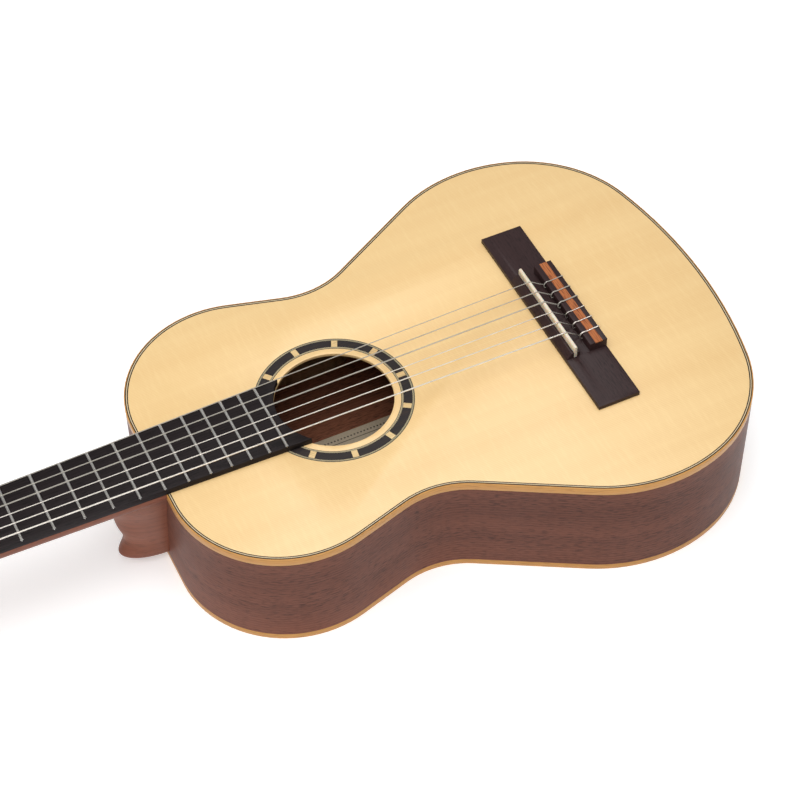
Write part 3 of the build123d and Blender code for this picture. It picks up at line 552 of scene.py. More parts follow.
@dataclass(frozen=True)
class RosetteLines(Finish):
    """The thin dyed lines on both sides of the mosaic, told apart by their distance from the middle.

    The distances at which the lines start, and the reach that they are shares of, are in millimetres.
    """

    black: Colour = (0.020, 0.019, 0.022)
    cream: Colour = (0.60, 0.50, 0.30)
    green: Colour = (0.10, 0.105, 0.075)
    dust: Colour = (0.25, 0.2, 0.13)
    dust_spread: tuple[float, float, float, float] = (0.3, 0.9, 0.0, 0.35)
    fibre_stretch: Sequence[float] = (900, 900, 200)
    reach: float = 60.0
    inner: Sequence[float] = (46.0, 46.35, 46.65, 47.0, 47.25)
    outer: Sequence[float] = (53.3, 53.55, 53.8, 54.1, 54.35, 54.75)
    lacquer: float = 0.08
    specular: float = 0.2

    def build(self, effects: Effects) -> bpy.types.Material:
        """Make the material.

        Args:
            effects: The shared groups.

        Returns:
            The material.
        """
        material, graph, shader, place = self.open()
        flat = graph.stretch(place, (1, 1, 0))
        radius = graph.node("ShaderNodeVectorMath", {0: flat}, operation="LENGTH").outputs["Value"]
        share = graph.math("DIVIDE", radius, self.reach * MM)
        inner_tones = (self.black, self.cream, self.black, self.cream, self.black)
        outer_tones = (self.black, self.cream, self.green, self.cream, self.green, self.black)
        edges = (*zip(self.inner, inner_tones), *zip(self.outer, outer_tones))
        lines = graph.bands(share, [(edge / self.reach, tone) for edge, tone in edges])
        fibre = graph.noise(graph.stretch(place, self.fibre_stretch), 1.0, 3.0)
        dusted = graph.mix(graph.spread(fibre, *self.dust_spread), lines, self.dust)
        graph.feed(shader.inputs["Base Color"], dusted)
        shader.inputs["Coat Weight"].default_value = self.lacquer
        shader.inputs["Specular IOR Level"].default_value = self.specular
        self.surface(graph, shader, place, effects, fibre)
        return material


@dataclass(frozen=True)
class LabelPaper(Finish):
    """A blank paper label with a dotted border and a thin ruled line inside it."""

    paper: Colour = (0.52, 0.43, 0.31)
    aged: Colour = (0.42, 0.34, 0.24)
    ink: Colour = (0.05, 0.045, 0.04)
    ink_strength: float = 0.85
    fibre_noise: tuple[float, float, float] = (700.0, 5.0, 0.7)
    fibre_edge: tuple[float, float] = (0.3, 0.8)
    middle: tuple[float, float] = (0.0, 0.0)
    half: tuple[float, float] = (36.0 * MM, 31.0 * MM)
    border: float = 5.0 * MM
    dot_pitch: float = 2.6 * MM
    dot_radius: float = 0.75 * MM
    line_inset: float = 8.2 * MM
    line_width: float = 0.35 * MM

    def build(self, effects: Effects) -> bpy.types.Material:
        """Make the material.

        Args:
            effects: The shared groups.

        Returns:
            The material.
        """
        material, graph, shader, place = self.open()
        parts = graph.node("ShaderNodeSeparateXYZ", {0: place}).outputs
        centred = [graph.math("SUBTRACT", parts[axis], middle) for axis, middle in zip("XY", self.middle)]
        reaches = [graph.math("ABSOLUTE", value) for value in centred]
        inset = [graph.math("SUBTRACT", half, reach) for half, reach in zip(self.half, reaches)]
        edge = graph.math("MINIMUM", *inset)
        along = [graph.math("PINGPONG", value, self.dot_pitch / 2) for value in centred]
        beads = [graph.math("SUBTRACT", value, self.border) for value in inset]
        total: Value = 0.0
        for side, other in ((0, 1), (1, 0)):
            squares = [graph.math("POWER", value, 2.0) for value in (beads[side], along[other])]
            distance = graph.math("SQRT", graph.math("ADD", *squares))
            inside = graph.math("GREATER_THAN", inset[other], self.border - self.dot_radius)
            dot = graph.math("LESS_THAN", distance, self.dot_radius)
            total = graph.math("MAXIMUM", total, graph.math("MULTIPLY", dot, inside))
        from_line = graph.math("ABSOLUTE", graph.math("SUBTRACT", edge, self.line_inset))
        ruled = graph.math("LESS_THAN", from_line, self.line_width)
        mask = graph.math("MULTIPLY", graph.math("MAXIMUM", total, ruled), self.ink_strength)
        fibres = graph.noise(place, *self.fibre_noise)
        sheet = graph.mix(graph.spread(fibres, *self.fibre_edge), self.paper, self.aged)
        graph.feed(shader.inputs["Base Color"], graph.mix(mask, sheet, self.ink))
        self.surface(graph, shader, place, effects, fibres)
        return material


SHELL_WOOD = {
    "light": (0.215, 0.074, 0.044),
    "dark": (0.095, 0.030, 0.018),
    "pore_colour": (0.020, 0.008, 0.006),
    "roughness": 0.5,
    "length": 26.0,
    "ring_width": 2.6 * MM,
    "waver": 6.0 * MM,
    "ring_strength": 0.35,
    "tone_strength": 0.6,
    "pore_fineness": 2500.0,
    "pore_length": 14.0,
    "pore_amount": 0.6,
    "lacquer": 0.04,
    "specular": 0.18,
}
BACK_TONES = {"light": (0.32, 0.125, 0.068), "dark": (0.15, 0.052, 0.030)}
MAHOGANY = {
    "light": (0.28, 0.090, 0.046),
    "dark": (0.17, 0.050, 0.025),
    "pore_colour": (0.07, 0.024, 0.014),
    "roughness": 0.45,
    "ring_width": 6.0 * MM,
    "waver": 10.0 * MM,
    "ring_strength": 0.35,
    "tone_strength": 0.5,
    "pore_fineness": 1700.0,
    "pore_length": 12.0,
    "pore_amount": 0.35,
    "lacquer": 0.05,
    "specular": 0.25,
}
ROSEWOOD = {
    "light": (0.045, 0.022, 0.022),
    "dark": (0.024, 0.012, 0.012),
    "pore_colour": (0.008, 0.004, 0.004),
    "roughness": 0.42,
    "ring_width": 2.6 * MM,
    "waver": 7.0 * MM,
    "ring_strength": 0.25,
    "tone_strength": 0.5,
    "pore_fineness": 1900.0,
    "pore_length": 10.0,
    "pore_amount": 0.5,
    "lacquer": 0.0,
    "specular": 0.25,
}
SPRUCE = Wood(
    "spruce",
    light=(0.933, 0.663, 0.318),
    dark=(0.784, 0.482, 0.191),
    roughness=0.4,
    length=60.0,
    ring_width=1.35 * MM,
    waver=5.0 * MM,
    ring_strength=0.36,
    tone_strength=0.3,
    silk=0.16,
    pore_amount=0.0,
    lacquer=0.3,
    lacquer_roughness=0.3,
    matched=True,
)
SAWN = Wood(
    "sawn_cedar",
    light=(0.42, 0.26, 0.14),
    dark=(0.27, 0.15, 0.075),
    roughness=0.75,
    ring_width=2.4 * MM,
    pore_amount=0.3,
    lacquer=0.0,
    specular=0.2,
)
MAPLE = {
    "light": (0.62, 0.305, 0.075),
    "dark": (0.44, 0.190, 0.040),
    "pore_colour": (0.25, 0.10, 0.02),
    "roughness": 0.4,
    "ring_width": 2.0 * MM,
    "ring_strength": 0.3,
    "tone_strength": 0.5,
    "pore_amount": 0.35,
    "lacquer": 0.15,
    "specular": 0.3,
}


class Palette:
    """Every material of the guitar, by the name of the slot or the piece that wears it."""

    def __init__(self, label_middle: tuple[float, float]) -> None:
        """Build the shared effects and every finish.

        Args:
            label_middle: The middle of the label in plan.
        """
        effects = Effects.build()
        finishes: dict[str, Finish] = {
            "spruce_top": SPRUCE,
            "shell_rim": Wood("shell_rim", grain=Grain.ROUND_RIM, **SHELL_WOOD),
            "shell_back": Wood("shell_back", matched=True, **{**SHELL_WOOD, **BACK_TONES}),
            "maple_rim": Wood("maple_rim", grain=Grain.ROUND_RIM, length=30.0, **MAPLE),
            "maple_graft": Wood("maple_graft", grain=Grain.UPRIGHT, **MAPLE),
            "inner_wood": SAWN,
            "neck_wood": Wood("neck_mahogany", **MAHOGANY),
            "heel_wood": Wood("heel_mahogany", grain=Grain.ROUND_RIM, length=9.0, **MAHOGANY),
            "bridge_wood": Wood("bridge_rosewood", grain=Grain.ACROSS_BODY, **ROSEWOOD),
            "veneer_wood": Wood("veneer_rosewood", matched=True, **ROSEWOOD),
            "fingerboard_wood": Wood(
                "board_blackwood",
                light=(0.021, 0.015, 0.016),
                dark=(0.012, 0.009, 0.009),
                pore_colour=(0.005, 0.004, 0.004),
                roughness=0.5,
                ring_width=2.2 * MM,
                pore_amount=0.6,
                lacquer=0.0,
                specular=0.14,
            ),
            "inlay_wood": Wood(
                "inlay_padauk",
                grain=Grain.ACROSS_BODY,
                light=(0.54, 0.185, 0.060),
                dark=(0.34, 0.100, 0.035),
                pore_colour=(0.14, 0.035, 0.015),
                specular=0.2,
                lacquer=0.1,
                roughness=0.4,
                ring_width=1.6 * MM,
                ring_strength=0.5,
                pore_amount=0.8,
                pore_fineness=1800.0,
            ),
            "line_black": Wood(
                "line_black",
                grain=Grain.ROUND_RIM,
                light=(0.018, 0.014, 0.014),
                dark=(0.010, 0.008, 0.008),
                specular=0.2,
                lacquer=0.05,
            ),
            "line_white": Wood(
                "line_white",
                grain=Grain.ROUND_RIM,
                light=(0.74, 0.60, 0.38),
                dark=(0.58, 0.42, 0.22),
                pore_amount=0.1,
            ),
            "rosette_lines": RosetteLines("rosette_lines"),
            "rosette_dark": Wood(
                "rosette_dark",
                light=(0.030, 0.024, 0.024),
                dark=(0.014, 0.011, 0.012),
                ring_width=1.0 * MM,
                specular=0.2,
                lacquer=0.08,
            ),
            "rosette_light": Wood(
                "rosette_light",
                light=(0.84, 0.62, 0.30),
                dark=(0.62, 0.38, 0.14),
                ring_width=0.9 * MM,
                pore_amount=0.2,
            ),
            "nickel_silver": Metal(
                "nickel_silver", roughness=0.26, colour=(0.86, 0.84, 0.80), dull=(0.72, 0.70, 0.66)
            ),
            "bone": Plain(
                "bone",
                roughness=0.3,
                colour=(0.86, 0.79, 0.66),
                cloud=(0.78, 0.68, 0.52),
                cloud_scale=(240, 900, 240),
                depth=0.15,
            ),
            "label_paper": LabelPaper("label_paper", roughness=0.85, middle=label_middle),
            "plated_steel": Metal(
                "plated_steel", roughness=0.22, colour=(0.85, 0.65, 0.33), dull=(0.72, 0.52, 0.25)
            ),
            "screw_steel": Metal(
                "screw_steel", roughness=0.28, colour=(0.78, 0.62, 0.36), dull=(0.55, 0.42, 0.22)
            ),
            "brass_gear": Metal(
                "brass_gear", roughness=0.32, colour=(0.80, 0.58, 0.26), dull=(0.62, 0.42, 0.17)
            ),
            "button_plastic": Plain(
                "button_pearl",
                roughness=0.18,
                colour=(0.84, 0.80, 0.70),
                cloud=(0.68, 0.62, 0.50),
                cloud_scale=(90, 160, 200),
                depth=0.1,
            ),
            "roller_plastic": Plain(
                "roller_plastic", roughness=0.35, colour=(0.80, 0.77, 0.68), cloud=(0.76, 0.72, 0.62)
            ),
            "nylon": Plain(
                "nylon",
                roughness=0.2,
                gloss_spread=0.1,
                colour=(0.74, 0.70, 0.62),
                cloud=(0.66, 0.62, 0.54),
                clear=0.45,
            ),
            "wound_silver": Metal(
                "wound_silver",
                roughness=0.42,
                colour=(0.97, 0.91, 0.83),
                dull=(0.90, 0.83, 0.74),
                winding=0.22 * MM,
                scratch_depth=0.04 * MM,
            ),
        }
        self.materials = {key: finish.build(effects) for key, finish in finishes.items()}

    def __getitem__(self, key: str) -> bpy.types.Material:
        """The material of that name."""
        return self.materials[key]


# ------------------------------------------------------------------------------------ the bench
class Bench:
    """The modelling moves that every piece is made with."""

    @staticmethod
    def pick(*pieces: bpy.types.Object) -> None:
        """Select these pieces alone, and make the first one active."""
        bpy.ops.object.select_all(action="DESELECT")
        for piece in pieces:
            piece.select_set(True)
        bpy.context.view_layer.objects.active = pieces[0]

    @staticmethod
    def edit(piece: bpy.types.Object, *moves: Callable[[], object]) -> None:
        """Run moves in edit mode with all of the mesh selected.

        Args:
            piece: The piece to work on.
            moves: Operators to call in turn.
        """
        Bench.pick(piece)
        bpy.ops.object.mode_set(mode="EDIT")
        bpy.ops.mesh.select_all(action="SELECT")
        for move in moves:
            move()
        bpy.ops.object.mode_set(mode="OBJECT")

    @staticmethod
    def select_faces(piece: bpy.types.Object, wanted: Callable[[bpy.types.MeshPolygon], bool]) -> None:
        """Select the faces that a test picks out, from object mode.

        Args:
            piece: The piece whose faces are tested.
            wanted: The test.
        """
        for kind in (piece.data.vertices, piece.data.edges):
            kind.foreach_set("select", [False] * len(kind))
        for face in piece.data.polygons:
            face.select = wanted(face)

    @staticmethod
    def select_largest_face(piece: bpy.types.Object) -> None:
        """Select the piece's largest face alone, from object mode."""
        largest = max(face.area for face in piece.data.polygons)
        Bench.select_faces(piece, lambda face: face.area >= largest)

    @staticmethod
    def modify(piece: bpy.types.Object, kind: str, **settings: object) -> None:
        """Add a modifier with these settings and apply it."""
        modifier = piece.modifiers.new(kind.lower(), kind)
        for name, setting in settings.items():
            setattr(modifier, name, setting)
        Bench.pick(piece)
        bpy.ops.object.modifier_apply(modifier=modifier.name)

    @staticmethod
    def round_edges(piece: bpy.types.Object, width: float, segments: int = 2) -> None:
        """Round every edge sharper than EDGE_ANGLE by this width."""
        Bench.modify(
            piece,
            "BEVEL",
            width=width,
            segments=segments,
            limit_method="ANGLE",
            angle_limit=EDGE_ANGLE,
            miter_outer="MITER_ARC",
        )

    @staticmethod
    def smooth(piece: bpy.types.Object) -> None:
        """Shade the curved faces smooth and keep the sharp edges."""
        Bench.pick(piece)
        bpy.ops.object.shade_smooth_by_angle(angle=EDGE_ANGLE)

    @staticmethod
    def copy_of(node: str, name: str) -> bpy.types.Object:
        """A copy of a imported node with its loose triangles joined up.

        Args:
            node: The node's name.
            name: The copy's name.

        Returns:
            The copy, which rides on nothing yet.
        """
        source = frame["nodes"][node]
        piece = source.copy()
        piece.data = source.data.copy()
        piece.name = name
        piece.parent = None
        piece.hide_viewport = piece.hide_render = False
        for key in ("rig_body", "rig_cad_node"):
            del piece[key]
        bpy.context.scene.collection.objects.link(piece)
        Bench.pick(piece)
        bpy.ops.mesh.customdata_custom_splitnormals_clear()
        Bench.edit(piece, lambda: bpy.ops.mesh.remove_doubles(threshold=MERGE_DISTANCE))
        return piece

    @staticmethod
    def flatten(piece: bpy.types.Object) -> None:
        """Join the triangles of each flat face into one face."""
        Bench.edit(piece, lambda: bpy.ops.mesh.dissolve_limited(angle_limit=FLAT_ANGLE))

    @staticmethod
    def wear(piece: bpy.types.Object, material: bpy.types.Material) -> None:
        """Give a piece this one material."""
        piece.data.materials.clear()
        piece.data.materials.append(material)

    @staticmethod
    def tube(name: str, points: Sequence[Vector], radius: float) -> bpy.types.Object:
        """A round tube along one smooth line.

        Args:
            name: The piece's name.
            points: The control points of its line.
            radius: Half its thickness.

        Returns:
            The tube as a closed mesh.
        """
        line = bpy.data.curves.new(name, "CURVE")
        line.dimensions = "3D"
        line.bevel_depth = radius
        line.bevel_resolution = TUBE_ROUNDNESS
        line.use_fill_caps = True
        line.resolution_u = TUBE_STEPS
        spline = line.splines.new("NURBS")
        spline.points.add(len(points) - 1)
        for control, point in zip(spline.points, points):
            control.co = (*point, 1.0)
        spline.order_u = 3
        spline.use_endpoint_u = True
        piece = bpy.data.objects.new(name, line)
        bpy.context.scene.collection.objects.link(piece)
        Bench.pick(piece)
        bpy.ops.object.convert(target="MESH")
        piece = bpy.context.view_layer.objects.active
        Bench.edit(
            piece,
            lambda: bpy.ops.mesh.remove_doubles(threshold=MERGE_DISTANCE),
            lambda: bpy.ops.mesh.normals_make_consistent(inside=False),
        )
        Bench.smooth(piece)
        return piece


class Workshop:
    """Finishes pieces: dresses them, puts them on their bodies and reports them."""

    def __init__(self, palette: Palette) -> None:
        """Keep the palette and read each node's material slot from the frame."""
        self.palette = palette
        self.slots = {row["node"]: row["material_slot"] for row in frame["record"]["subparts"]}

    def dress(self, node: str, material: str) -> None:
        """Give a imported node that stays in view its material."""
        piece = frame["nodes"][node]
        for slot in piece.material_slots:
            slot.material = self.palette[material]
        LOG.info("%s stays and wears %s", node, material)

    def stand_for(self, piece: bpy.types.Object, node: str, material: str | None) -> bpy.types.Object:
        """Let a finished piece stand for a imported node.

        Args:
            piece: The finished piece.
            node: The node that it replaces.
            material: The material to give it, or None if it already wears its own.

        Returns:
            The piece.
        """
        if material:
            Bench.wear(piece, self.palette[material])
        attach(piece, frame["nodes"][node]["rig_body"])
        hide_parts(node)
        LOG.info("%s replaces %s, %d faces", piece.name, node, len(piece.data.polygons))
        return piece

    def worked(self, node: str, material: str, edge: float = 0.0, segments: int = 2) -> bpy.types.Object:
        """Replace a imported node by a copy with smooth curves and, if wanted, eased edges.

        Args:
            node: The node to replace.
            material: The material that the copy wears.
            edge: Width of the rounding on its sharp edges, or 0 to leave them.
            segments: Steps in that rounding.

        Returns:
            The finished piece.
        """
        piece = Bench.copy_of(node, f"{node}_worked")
        if edge:
            Bench.flatten(piece)
            Bench.round_edges(piece, edge, segments)
        Bench.smooth(piece)
        return self.stand_for(piece, node, material)


# ------------------------------------------------------------------------------------ sub-assemblies
@dataclass
class SoundBox:
    """The body: soundboard, ribs, back, bindings, purfling, rosette and what is inside."""

    shop: Workshop
    line_widths: tuple[float, float, float] = (0.7 * MM, 0.6 * MM, 0.7 * MM)
    line_depth: float = 1.4 * MM
    line_lift: float = 0.02 * MM
    binding_edge: float = 0.2 * MM
    top_edge: float = 0.25 * MM

    def build(self) -> None:
        """Build every piece of the body."""
        self.shop.worked("soundboard", "spruce_top", self.top_edge)
        self.shop.worked("back_panel", "shell_back")
        for rib in ("rib_bass", "rib_treble"):
            self.shop.worked(rib, "shell_rim")
        self.shop.worked("top_binding", "maple_rim", self.binding_edge)
        self.shop.worked("back_binding", "maple_rim", self.binding_edge)
        self.shop.worked("end_graft", "maple_graft")
        self.purfling()
        for node in ("neck_block", "tail_block", "soundboard_braces", "back_braces", "linings"):
            self.shop.dress(node, "inner_wood")
        self.shop.dress("label", "label_paper")
        self.shop.dress("rosette_lines", "rosette_lines")
        self.shop.dress("rosette_segments", "rosette_dark")
        self.shop.dress("rosette_blocks", "rosette_light")

    def purfling(self) -> None:
        """Build the black, white and black lines beside the binding.

        The plan of the back is lifted to the soundboard and inset once for each line. What is left in the
        middle is taken away, and the rims are given their depth.
        """
        piece = Bench.copy_of("back_panel", "top_purfling_lines")
        Bench.flatten(piece)
        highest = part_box("back_panel")[1].z
        lowest = highest - MERGE_DISTANCE
        Bench.select_faces(piece, lambda face: face.normal.z > LEVEL_NORMAL and face.center.z > lowest)
        Bench.pick(piece)
        bpy.ops.object.mode_set(mode="EDIT")
        bpy.ops.mesh.select_mode(type="FACE")
        bpy.ops.mesh.select_all(action="INVERT")
        bpy.ops.mesh.delete(type="FACE")
        bpy.ops.mesh.select_all(action="SELECT")
        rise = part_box("soundboard")[1].z + self.line_lift - highest
        bpy.ops.transform.translate(value=(0, 0, rise))
        bpy.ops.object.mode_set(mode="OBJECT")
        Bench.wear(piece, self.shop.palette["line_black"])
        piece.data.materials.append(self.shop.palette["line_white"])
        for width in self.line_widths:
            Bench.select_largest_face(piece)
            bpy.ops.object.mode_set(mode="EDIT")
            bpy.ops.mesh.inset(thickness=width, use_boundary=True, use_even_offset=True)
            bpy.ops.object.mode_set(mode="OBJECT")
        Bench.select_largest_face(piece)
        bpy.ops.object.mode_set(mode="EDIT")
        bpy.ops.mesh.delete(type="FACE")
        bpy.ops.object.mode_set(mode="OBJECT")
        faces = piece.data.polygons
        per_line = len(faces) // len(self.line_widths)
        for face in faces:
            face.material_index = 1 if per_line <= face.index < 2 * per_line else 0
        Bench.modify(piece, "SOLIDIFY", thickness=self.line_depth, offset=-1.0)
        self.shop.stand_for(piece, "top_purfling", None)


@dataclass
class Neck:
    """The neck, its heel, the fingerboard with its frets, and the nut."""

    shop: Workshop
    board_edge: float = 0.45 * MM
    nut_edge: float = 0.3 * MM

    def build(self) -> None:
        """Build every piece of the neck."""
        self.shop.worked("neck_shaft", "neck_wood")
        self.shop.worked("heel_block", "heel_wood")
        self.shop.worked("fingerboard", "fingerboard_wood", self.board_edge)
        self.shop.worked("frets", "nickel_silver")
        self.shop.worked("nut", "bone", self.nut_edge)


@dataclass
class Bridge:
    """The bridge with its saddle and the inlay of its tie block."""

    shop: Workshop
    edge: float = 0.3 * MM
    saddle_edge: float = 0.35 * MM

    def build(self) -> None:
        """Build every piece of the bridge."""
        self.shop.worked("bridge", "bridge_wood", self.edge)
        self.shop.worked("saddle", "bone", self.saddle_edge, 3)
        self.shop.dress("tie_block_inlay", "inlay_wood")


@dataclass
class Headstock:
    """The slotted headstock with its veneer and its six tuning machines."""

    shop: Workshop
    head_edge: float = 0.8 * MM
    plate_edge: float = 0.2 * MM
    tuners: int = 6

    def build(self) -> None:
        """Build the headstock and every tuning machine."""
        self.shop.worked("headstock", "neck_wood", self.head_edge)
        self.shop.worked("headstock_veneer", "veneer_wood", self.plate_edge)
        for side in ("treble", "bass"):
            self.shop.worked(f"tuner_plate_{side}", "plated_steel", self.plate_edge)
        self.shop.worked("tuner_plate_screws", "screw_steel")
        for number in range(1, self.tuners + 1):
            self.shop.worked(f"roller_{number}", "roller_plastic", self.plate_edge)
            self.shop.worked(f"gear_{number}", "brass_gear")
            self.shop.worked(f"worm_{number}", "plated_steel")
            self.shop.worked(f"button_{number}", "button_plastic")


@dataclass
class StringSet:
    """Six strings: each is tied at the bridge, runs over saddle and nut, and is wound on its roller."""

    shop: Workshop
    diameters: tuple[float, ...] = (0.71 * MM, 0.82 * MM, 1.02 * MM, 0.74 * MM, 0.89 * MM, 1.09 * MM)
    pitch_at_saddle: float = 10.7 * MM
    pitch_at_nut: float = 7.2 * MM
    treble_count: int = 3
    nut_slot_depth: float = 0.6 * MM
    nut_ridge: float = 1.8 * MM
    roller_radius: float = 5.08 * MM
    roller_rows: tuple[float, ...] = (17.5 * MM, 16.0 * MM, 15.0 * MM)
    coil_turns: int = 4
    points_per_turn: int = 14
    inlay_margin: float = 4.1 * MM
    hole_drop: float = 5.0 * MM
    hole_spacing: float = 3.2 * MM
    guide_reach: float = 40.0 * MM
    turn_pitch: float = 1.02
    swell_share: float = 0.25
    saddle_top: float = field(init=False)
    saddle_y: float = field(init=False)
    block_front: float = field(init=False)
    block_back: float = field(init=False)
    block_top: float = field(init=False)

    def __post_init__(self) -> None:
        """Read the places of the saddle and the tie block from the frame."""
        low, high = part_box("saddle")
        self.saddle_top = high.z
        self.saddle_y = (low.y + high.y) / 2
        low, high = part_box("tie_block_inlay")
        self.block_top = high.z
        self.block_front = high.y + self.inlay_margin
        self.block_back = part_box("bridge")[0].y

    def build(self) -> None:
        """Build every string."""
        for number, diameter in enumerate(self.diameters, 1):
            points = self.tie(number, diameter) + self.run(number, diameter) + self.coil(number, diameter)
            piece = Bench.tube(f"string_{number}_wound_on", points, diameter / 2)
            material = "nylon" if number <= self.treble_count else "wound_silver"
            self.shop.stand_for(piece, f"string_{number}", material)

    def side_place(self, number: int, pitch: float) -> float:
        """Sideways place of a string at this pitch, counted from the treble side."""
        return ((len(self.diameters) + 1) / 2 - number) * pitch

    def tie(self, number: int, diameter: float) -> list[Vector]:
        """The knot at the bridge: out of one hole, over the tie block and down into the hole beside it.

        Args:
            number: The string's number.
            diameter: Its thickness.

        Returns:
            The control points, up to the hole that the string runs from.
        """
        near = self.side_place(number, self.pitch_at_saddle)
        far = near - self.hole_spacing
        half = diameter / 2
        level = self.block_top - self.hole_drop
        lid = self.block_top + half
        front = self.block_front + half
        back = self.block_back - half
        return [
            Vector((far, self.block_front - 4.0 * MM, level)),
            Vector((far, self.block_front - 0.5 * MM, level)),
            Vector((far, front + 0.6 * MM, level + 0.3 * MM)),
            Vector((far, front + 1.2 * MM, level + 2.2 * MM)),
            Vector((far, front + 0.9 * MM, lid - 0.9 * MM)),
            Vector((far, front - 0.9 * MM, lid + 0.5 * MM)),
            Vector((far, front - 3.4 * MM, lid + 0.05 * MM)),
            Vector((far + 0.3 * MM, (self.block_front + self.block_back) / 2, lid)),
            Vector((far + 0.6 * MM, self.block_back + 1.6 * MM, lid)),
            Vector((far + 0.7 * MM, self.block_back - 0.3 * MM, lid + 0.1 * MM)),
            Vector((far + 0.9 * MM, back - 0.5 * MM, lid - 1.5 * MM)),
            Vector((near - 1.4 * MM, back - 0.5 * MM, level + 1.2 * MM)),
            Vector((near - 0.1 * MM, back - 0.6 * MM, level)),
            Vector((near, back + 1.2 * MM, level)),
            Vector((near, self.block_front - 0.4 * MM, level)),
        ]

    def run(self, number: int, diameter: float) -> list[Vector]:
        """The string's free run, from the tie block over the saddle and the nut.

        Args:
            number: The string's number.
            diameter: Its thickness.

        Returns:
            The control points.
        """
        half = diameter / 2
        side = self.side_place(number, self.pitch_at_saddle)
        level = self.block_top - self.hole_drop
        start = Vector((side, self.block_front + 0.6 * MM, level + 0.2 * MM))
        crown = Vector((side, self.saddle_y, self.saddle_top + half + 0.04 * MM))
        nut_low, nut_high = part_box("nut")
        base = nut_high.z - self.nut_slot_depth + half
        edge = Vector((self.side_place(number, self.pitch_at_nut), nut_low.y + self.nut_ridge, base))
        fall = (crown - start).normalized()
        reach = (edge - crown).normalized()
        leave = (self.touch(number, diameter) - edge).normalized()
        return [
            start,
            crown - 1.3 * MM * fall,
            crown,
            crown + 1.5 * MM * reach,
            crown + self.guide_reach * reach,
            edge - self.guide_reach * reach,
            edge - 1.0 * MM * reach,
            edge,
            edge + 1.0 * MM * leave,
        ]

    def roller(self, number: int) -> tuple[Vector, float]:
        """The middle of a string's coil on its roller's axis, and the side it lies on."""
        joint = next(row for row in frame["joints"] if row["name"] == f"roller_{number}_turn")
        side = 1.0 if number <= self.treble_count else -1.0
        row = min(number, len(self.diameters) + 1 - number) - 1
        return Vector((side * self.roller_rows[row], joint["pos_m"][1], joint["pos_m"][2])), side

    def touch(
        self, number: int, diameter: float, angle: float | None = None, shift: float = 0.0
    ) -> Vector:
        """A place on the coil.

        Args:
            number: The string's number.
            diameter: Its thickness.
            angle: Angle round the roller, or None for the place where the string first touches it.
            shift: Distance outwards along the roller.

        Returns:
            The place.
        """
        middle, side = self.roller(number)
        radius = self.roller_radius + diameter / 2
        if angle is None:
            angle = self.touch_angle(number, diameter)
        return Vector(
            (middle.x + side * shift, middle.y + radius * cos(angle), middle.z + radius * sin(angle))
        )

    def touch_angle(self, number: int, diameter: float) -> float:
        """The angle at which the string, coming from the nut, first touches its roller."""
        middle, _ = self.roller(number)
        nut_low, nut_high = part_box("nut")
        rise = nut_high.z - self.nut_slot_depth + diameter / 2 - middle.z
        back = nut_low.y + self.nut_ridge - middle.y
        return atan2(rise, back) - acos((self.roller_radius + diameter / 2) / hypot(rise, back))

    def coil(self, number: int, diameter: float) -> list[Vector]:
        """The turns round the roller, side by side, ending against its hole.

        Args:
            number: The string's number.
            diameter: Its thickness.

        Returns:
            The control points.
        """
        start = self.touch_angle(number, diameter)
        steps = self.coil_turns * self.points_per_turn
        swell = 1.0 / cos(pi / self.points_per_turn) - 1.0
        points = [self.touch(number, diameter)]
        for step in range(1, steps + 1):
            angle = start - tau * step / self.points_per_turn
            shift = diameter * self.turn_pitch * step / self.points_per_turn
            place = self.touch(number, diameter, angle, shift)
            opposite = self.touch(number, diameter, angle + pi, shift)
            points.append(place + (place - opposite) * swell * self.swell_share)
        return points


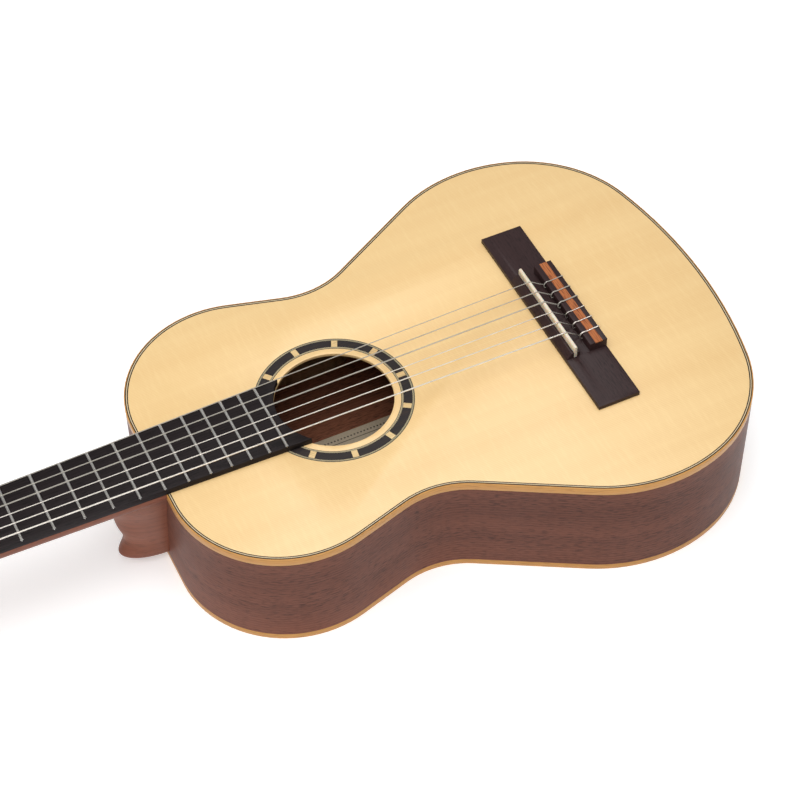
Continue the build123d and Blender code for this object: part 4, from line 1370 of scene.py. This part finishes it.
# ------------------------------------------------------------------------------------ the studio
@dataclass
class Studio:
    """A pale floor, soft lights and the camera."""

    eye: tuple[float, float, float] = (-0.9249, 0.3749, 1.2581)
    target: tuple[float, float, float] = (-0.0207, -0.0399, 0.0885)
    roll: float = -0.0196
    focal_length: float = 101.56
    sensor: float = 36.0
    floor_size: float = 12.0
    floor_colour: Colour = (0.85, 0.85, 0.85)
    floor_roughness: float = 0.9
    floor_specular: float = 0.1
    floor_glow: float = 0.42
    white: Colour = (1.0, 1.0, 1.0)
    air_light: float = 0.34
    view_distance: float = 20.0
    lights: tuple[tuple[tuple[float, float, float], float, float], ...] = (
        ((-0.5, 0.5, 2.3), 1.8, 37.0),
        ((0.42, -0.48, 1.75), 0.9, 7.0),
        ((-1.9, 0.9, 0.9), 1.2, 2.0),
    )

    def build(self) -> None:
        """Build the floor, the lights, the air and the camera."""
        self.floor()
        self.air()
        for number, (place, size, power) in enumerate(self.lights, 1):
            self.softbox(number, Vector(place), size, power)
        self.camera()
        view = bpy.context.scene.view_settings
        view.view_transform = "Standard"
        view.look = "None"

    def floor(self) -> None:
        """Lay a plain pale floor under the guitar."""
        bpy.ops.object.select_all(action="DESELECT")
        bpy.ops.mesh.primitive_plane_add(size=self.floor_size)
        floor = bpy.context.view_layer.objects.active
        floor.name = "studio_floor"
        material = bpy.data.materials.new("studio_floor")
        material.use_nodes = True
        shader = material.node_tree.nodes["Principled BSDF"]
        shader.inputs["Base Color"].default_value = opaque(self.floor_colour)
        shader.inputs["Roughness"].default_value = self.floor_roughness
        shader.inputs["Specular IOR Level"].default_value = self.floor_specular
        shader.inputs["Emission Color"].default_value = opaque(self.white)
        shader.inputs["Emission Strength"].default_value = self.floor_glow
        Bench.wear(floor, material)

    def air(self) -> None:
        """Fill the studio with even white light."""
        world = bpy.data.worlds.new("studio_air")
        world.use_nodes = True
        bpy.context.scene.world = world
        background = world.node_tree.nodes["Background"]
        background.inputs["Color"].default_value = opaque(self.white)
        background.inputs["Strength"].default_value = self.air_light

    def softbox(self, number: int, place: Vector, size: float, power: float) -> None:
        """Hang a square soft light that faces the guitar."""
        data = bpy.data.lights.new(f"softbox_{number}", "AREA")
        data.shape = "SQUARE"
        data.size = size
        data.energy = power
        light = bpy.data.objects.new(data.name, data)
        bpy.context.scene.collection.objects.link(light)
        light.location = place
        light.rotation_euler = (Vector(self.target) - place).to_track_quat("-Z", "Y").to_euler()

    def camera(self) -> None:
        """Set up the camera and make it the scene's own."""
        data = bpy.data.cameras.new("studio_camera")
        data.lens = self.focal_length
        data.sensor_width = self.sensor
        data.clip_end = self.view_distance
        camera = bpy.data.objects.new(data.name, data)
        bpy.context.scene.collection.objects.link(camera)
        ahead = (Vector(self.target) - Vector(self.eye)).normalized()
        level = ahead.cross(Vector((0, 0, 1))).normalized()
        up = level.cross(ahead)
        right = level * cos(self.roll) + up * sin(self.roll)
        rows = (right, right.cross(ahead), -ahead)
        camera.matrix_world = Matrix.Translation(self.eye) @ Matrix(rows).transposed().to_4x4()
        bpy.context.scene.camera = camera


def main() -> None:
    """Build the studio and the guitar."""
    logging.basicConfig(level=logging.INFO, format="%(name)s: %(message)s")
    Studio().build()
    low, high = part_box("label")
    shop = Workshop(Palette(((low.x + high.x) / 2, (low.y + high.y) / 2)))
    for assembly in (SoundBox, Neck, Bridge, Headstock, StringSet):
        LOG.info("building %s", assembly.__name__)
        assembly(shop).build()


if __name__ == "__main__":
    main()
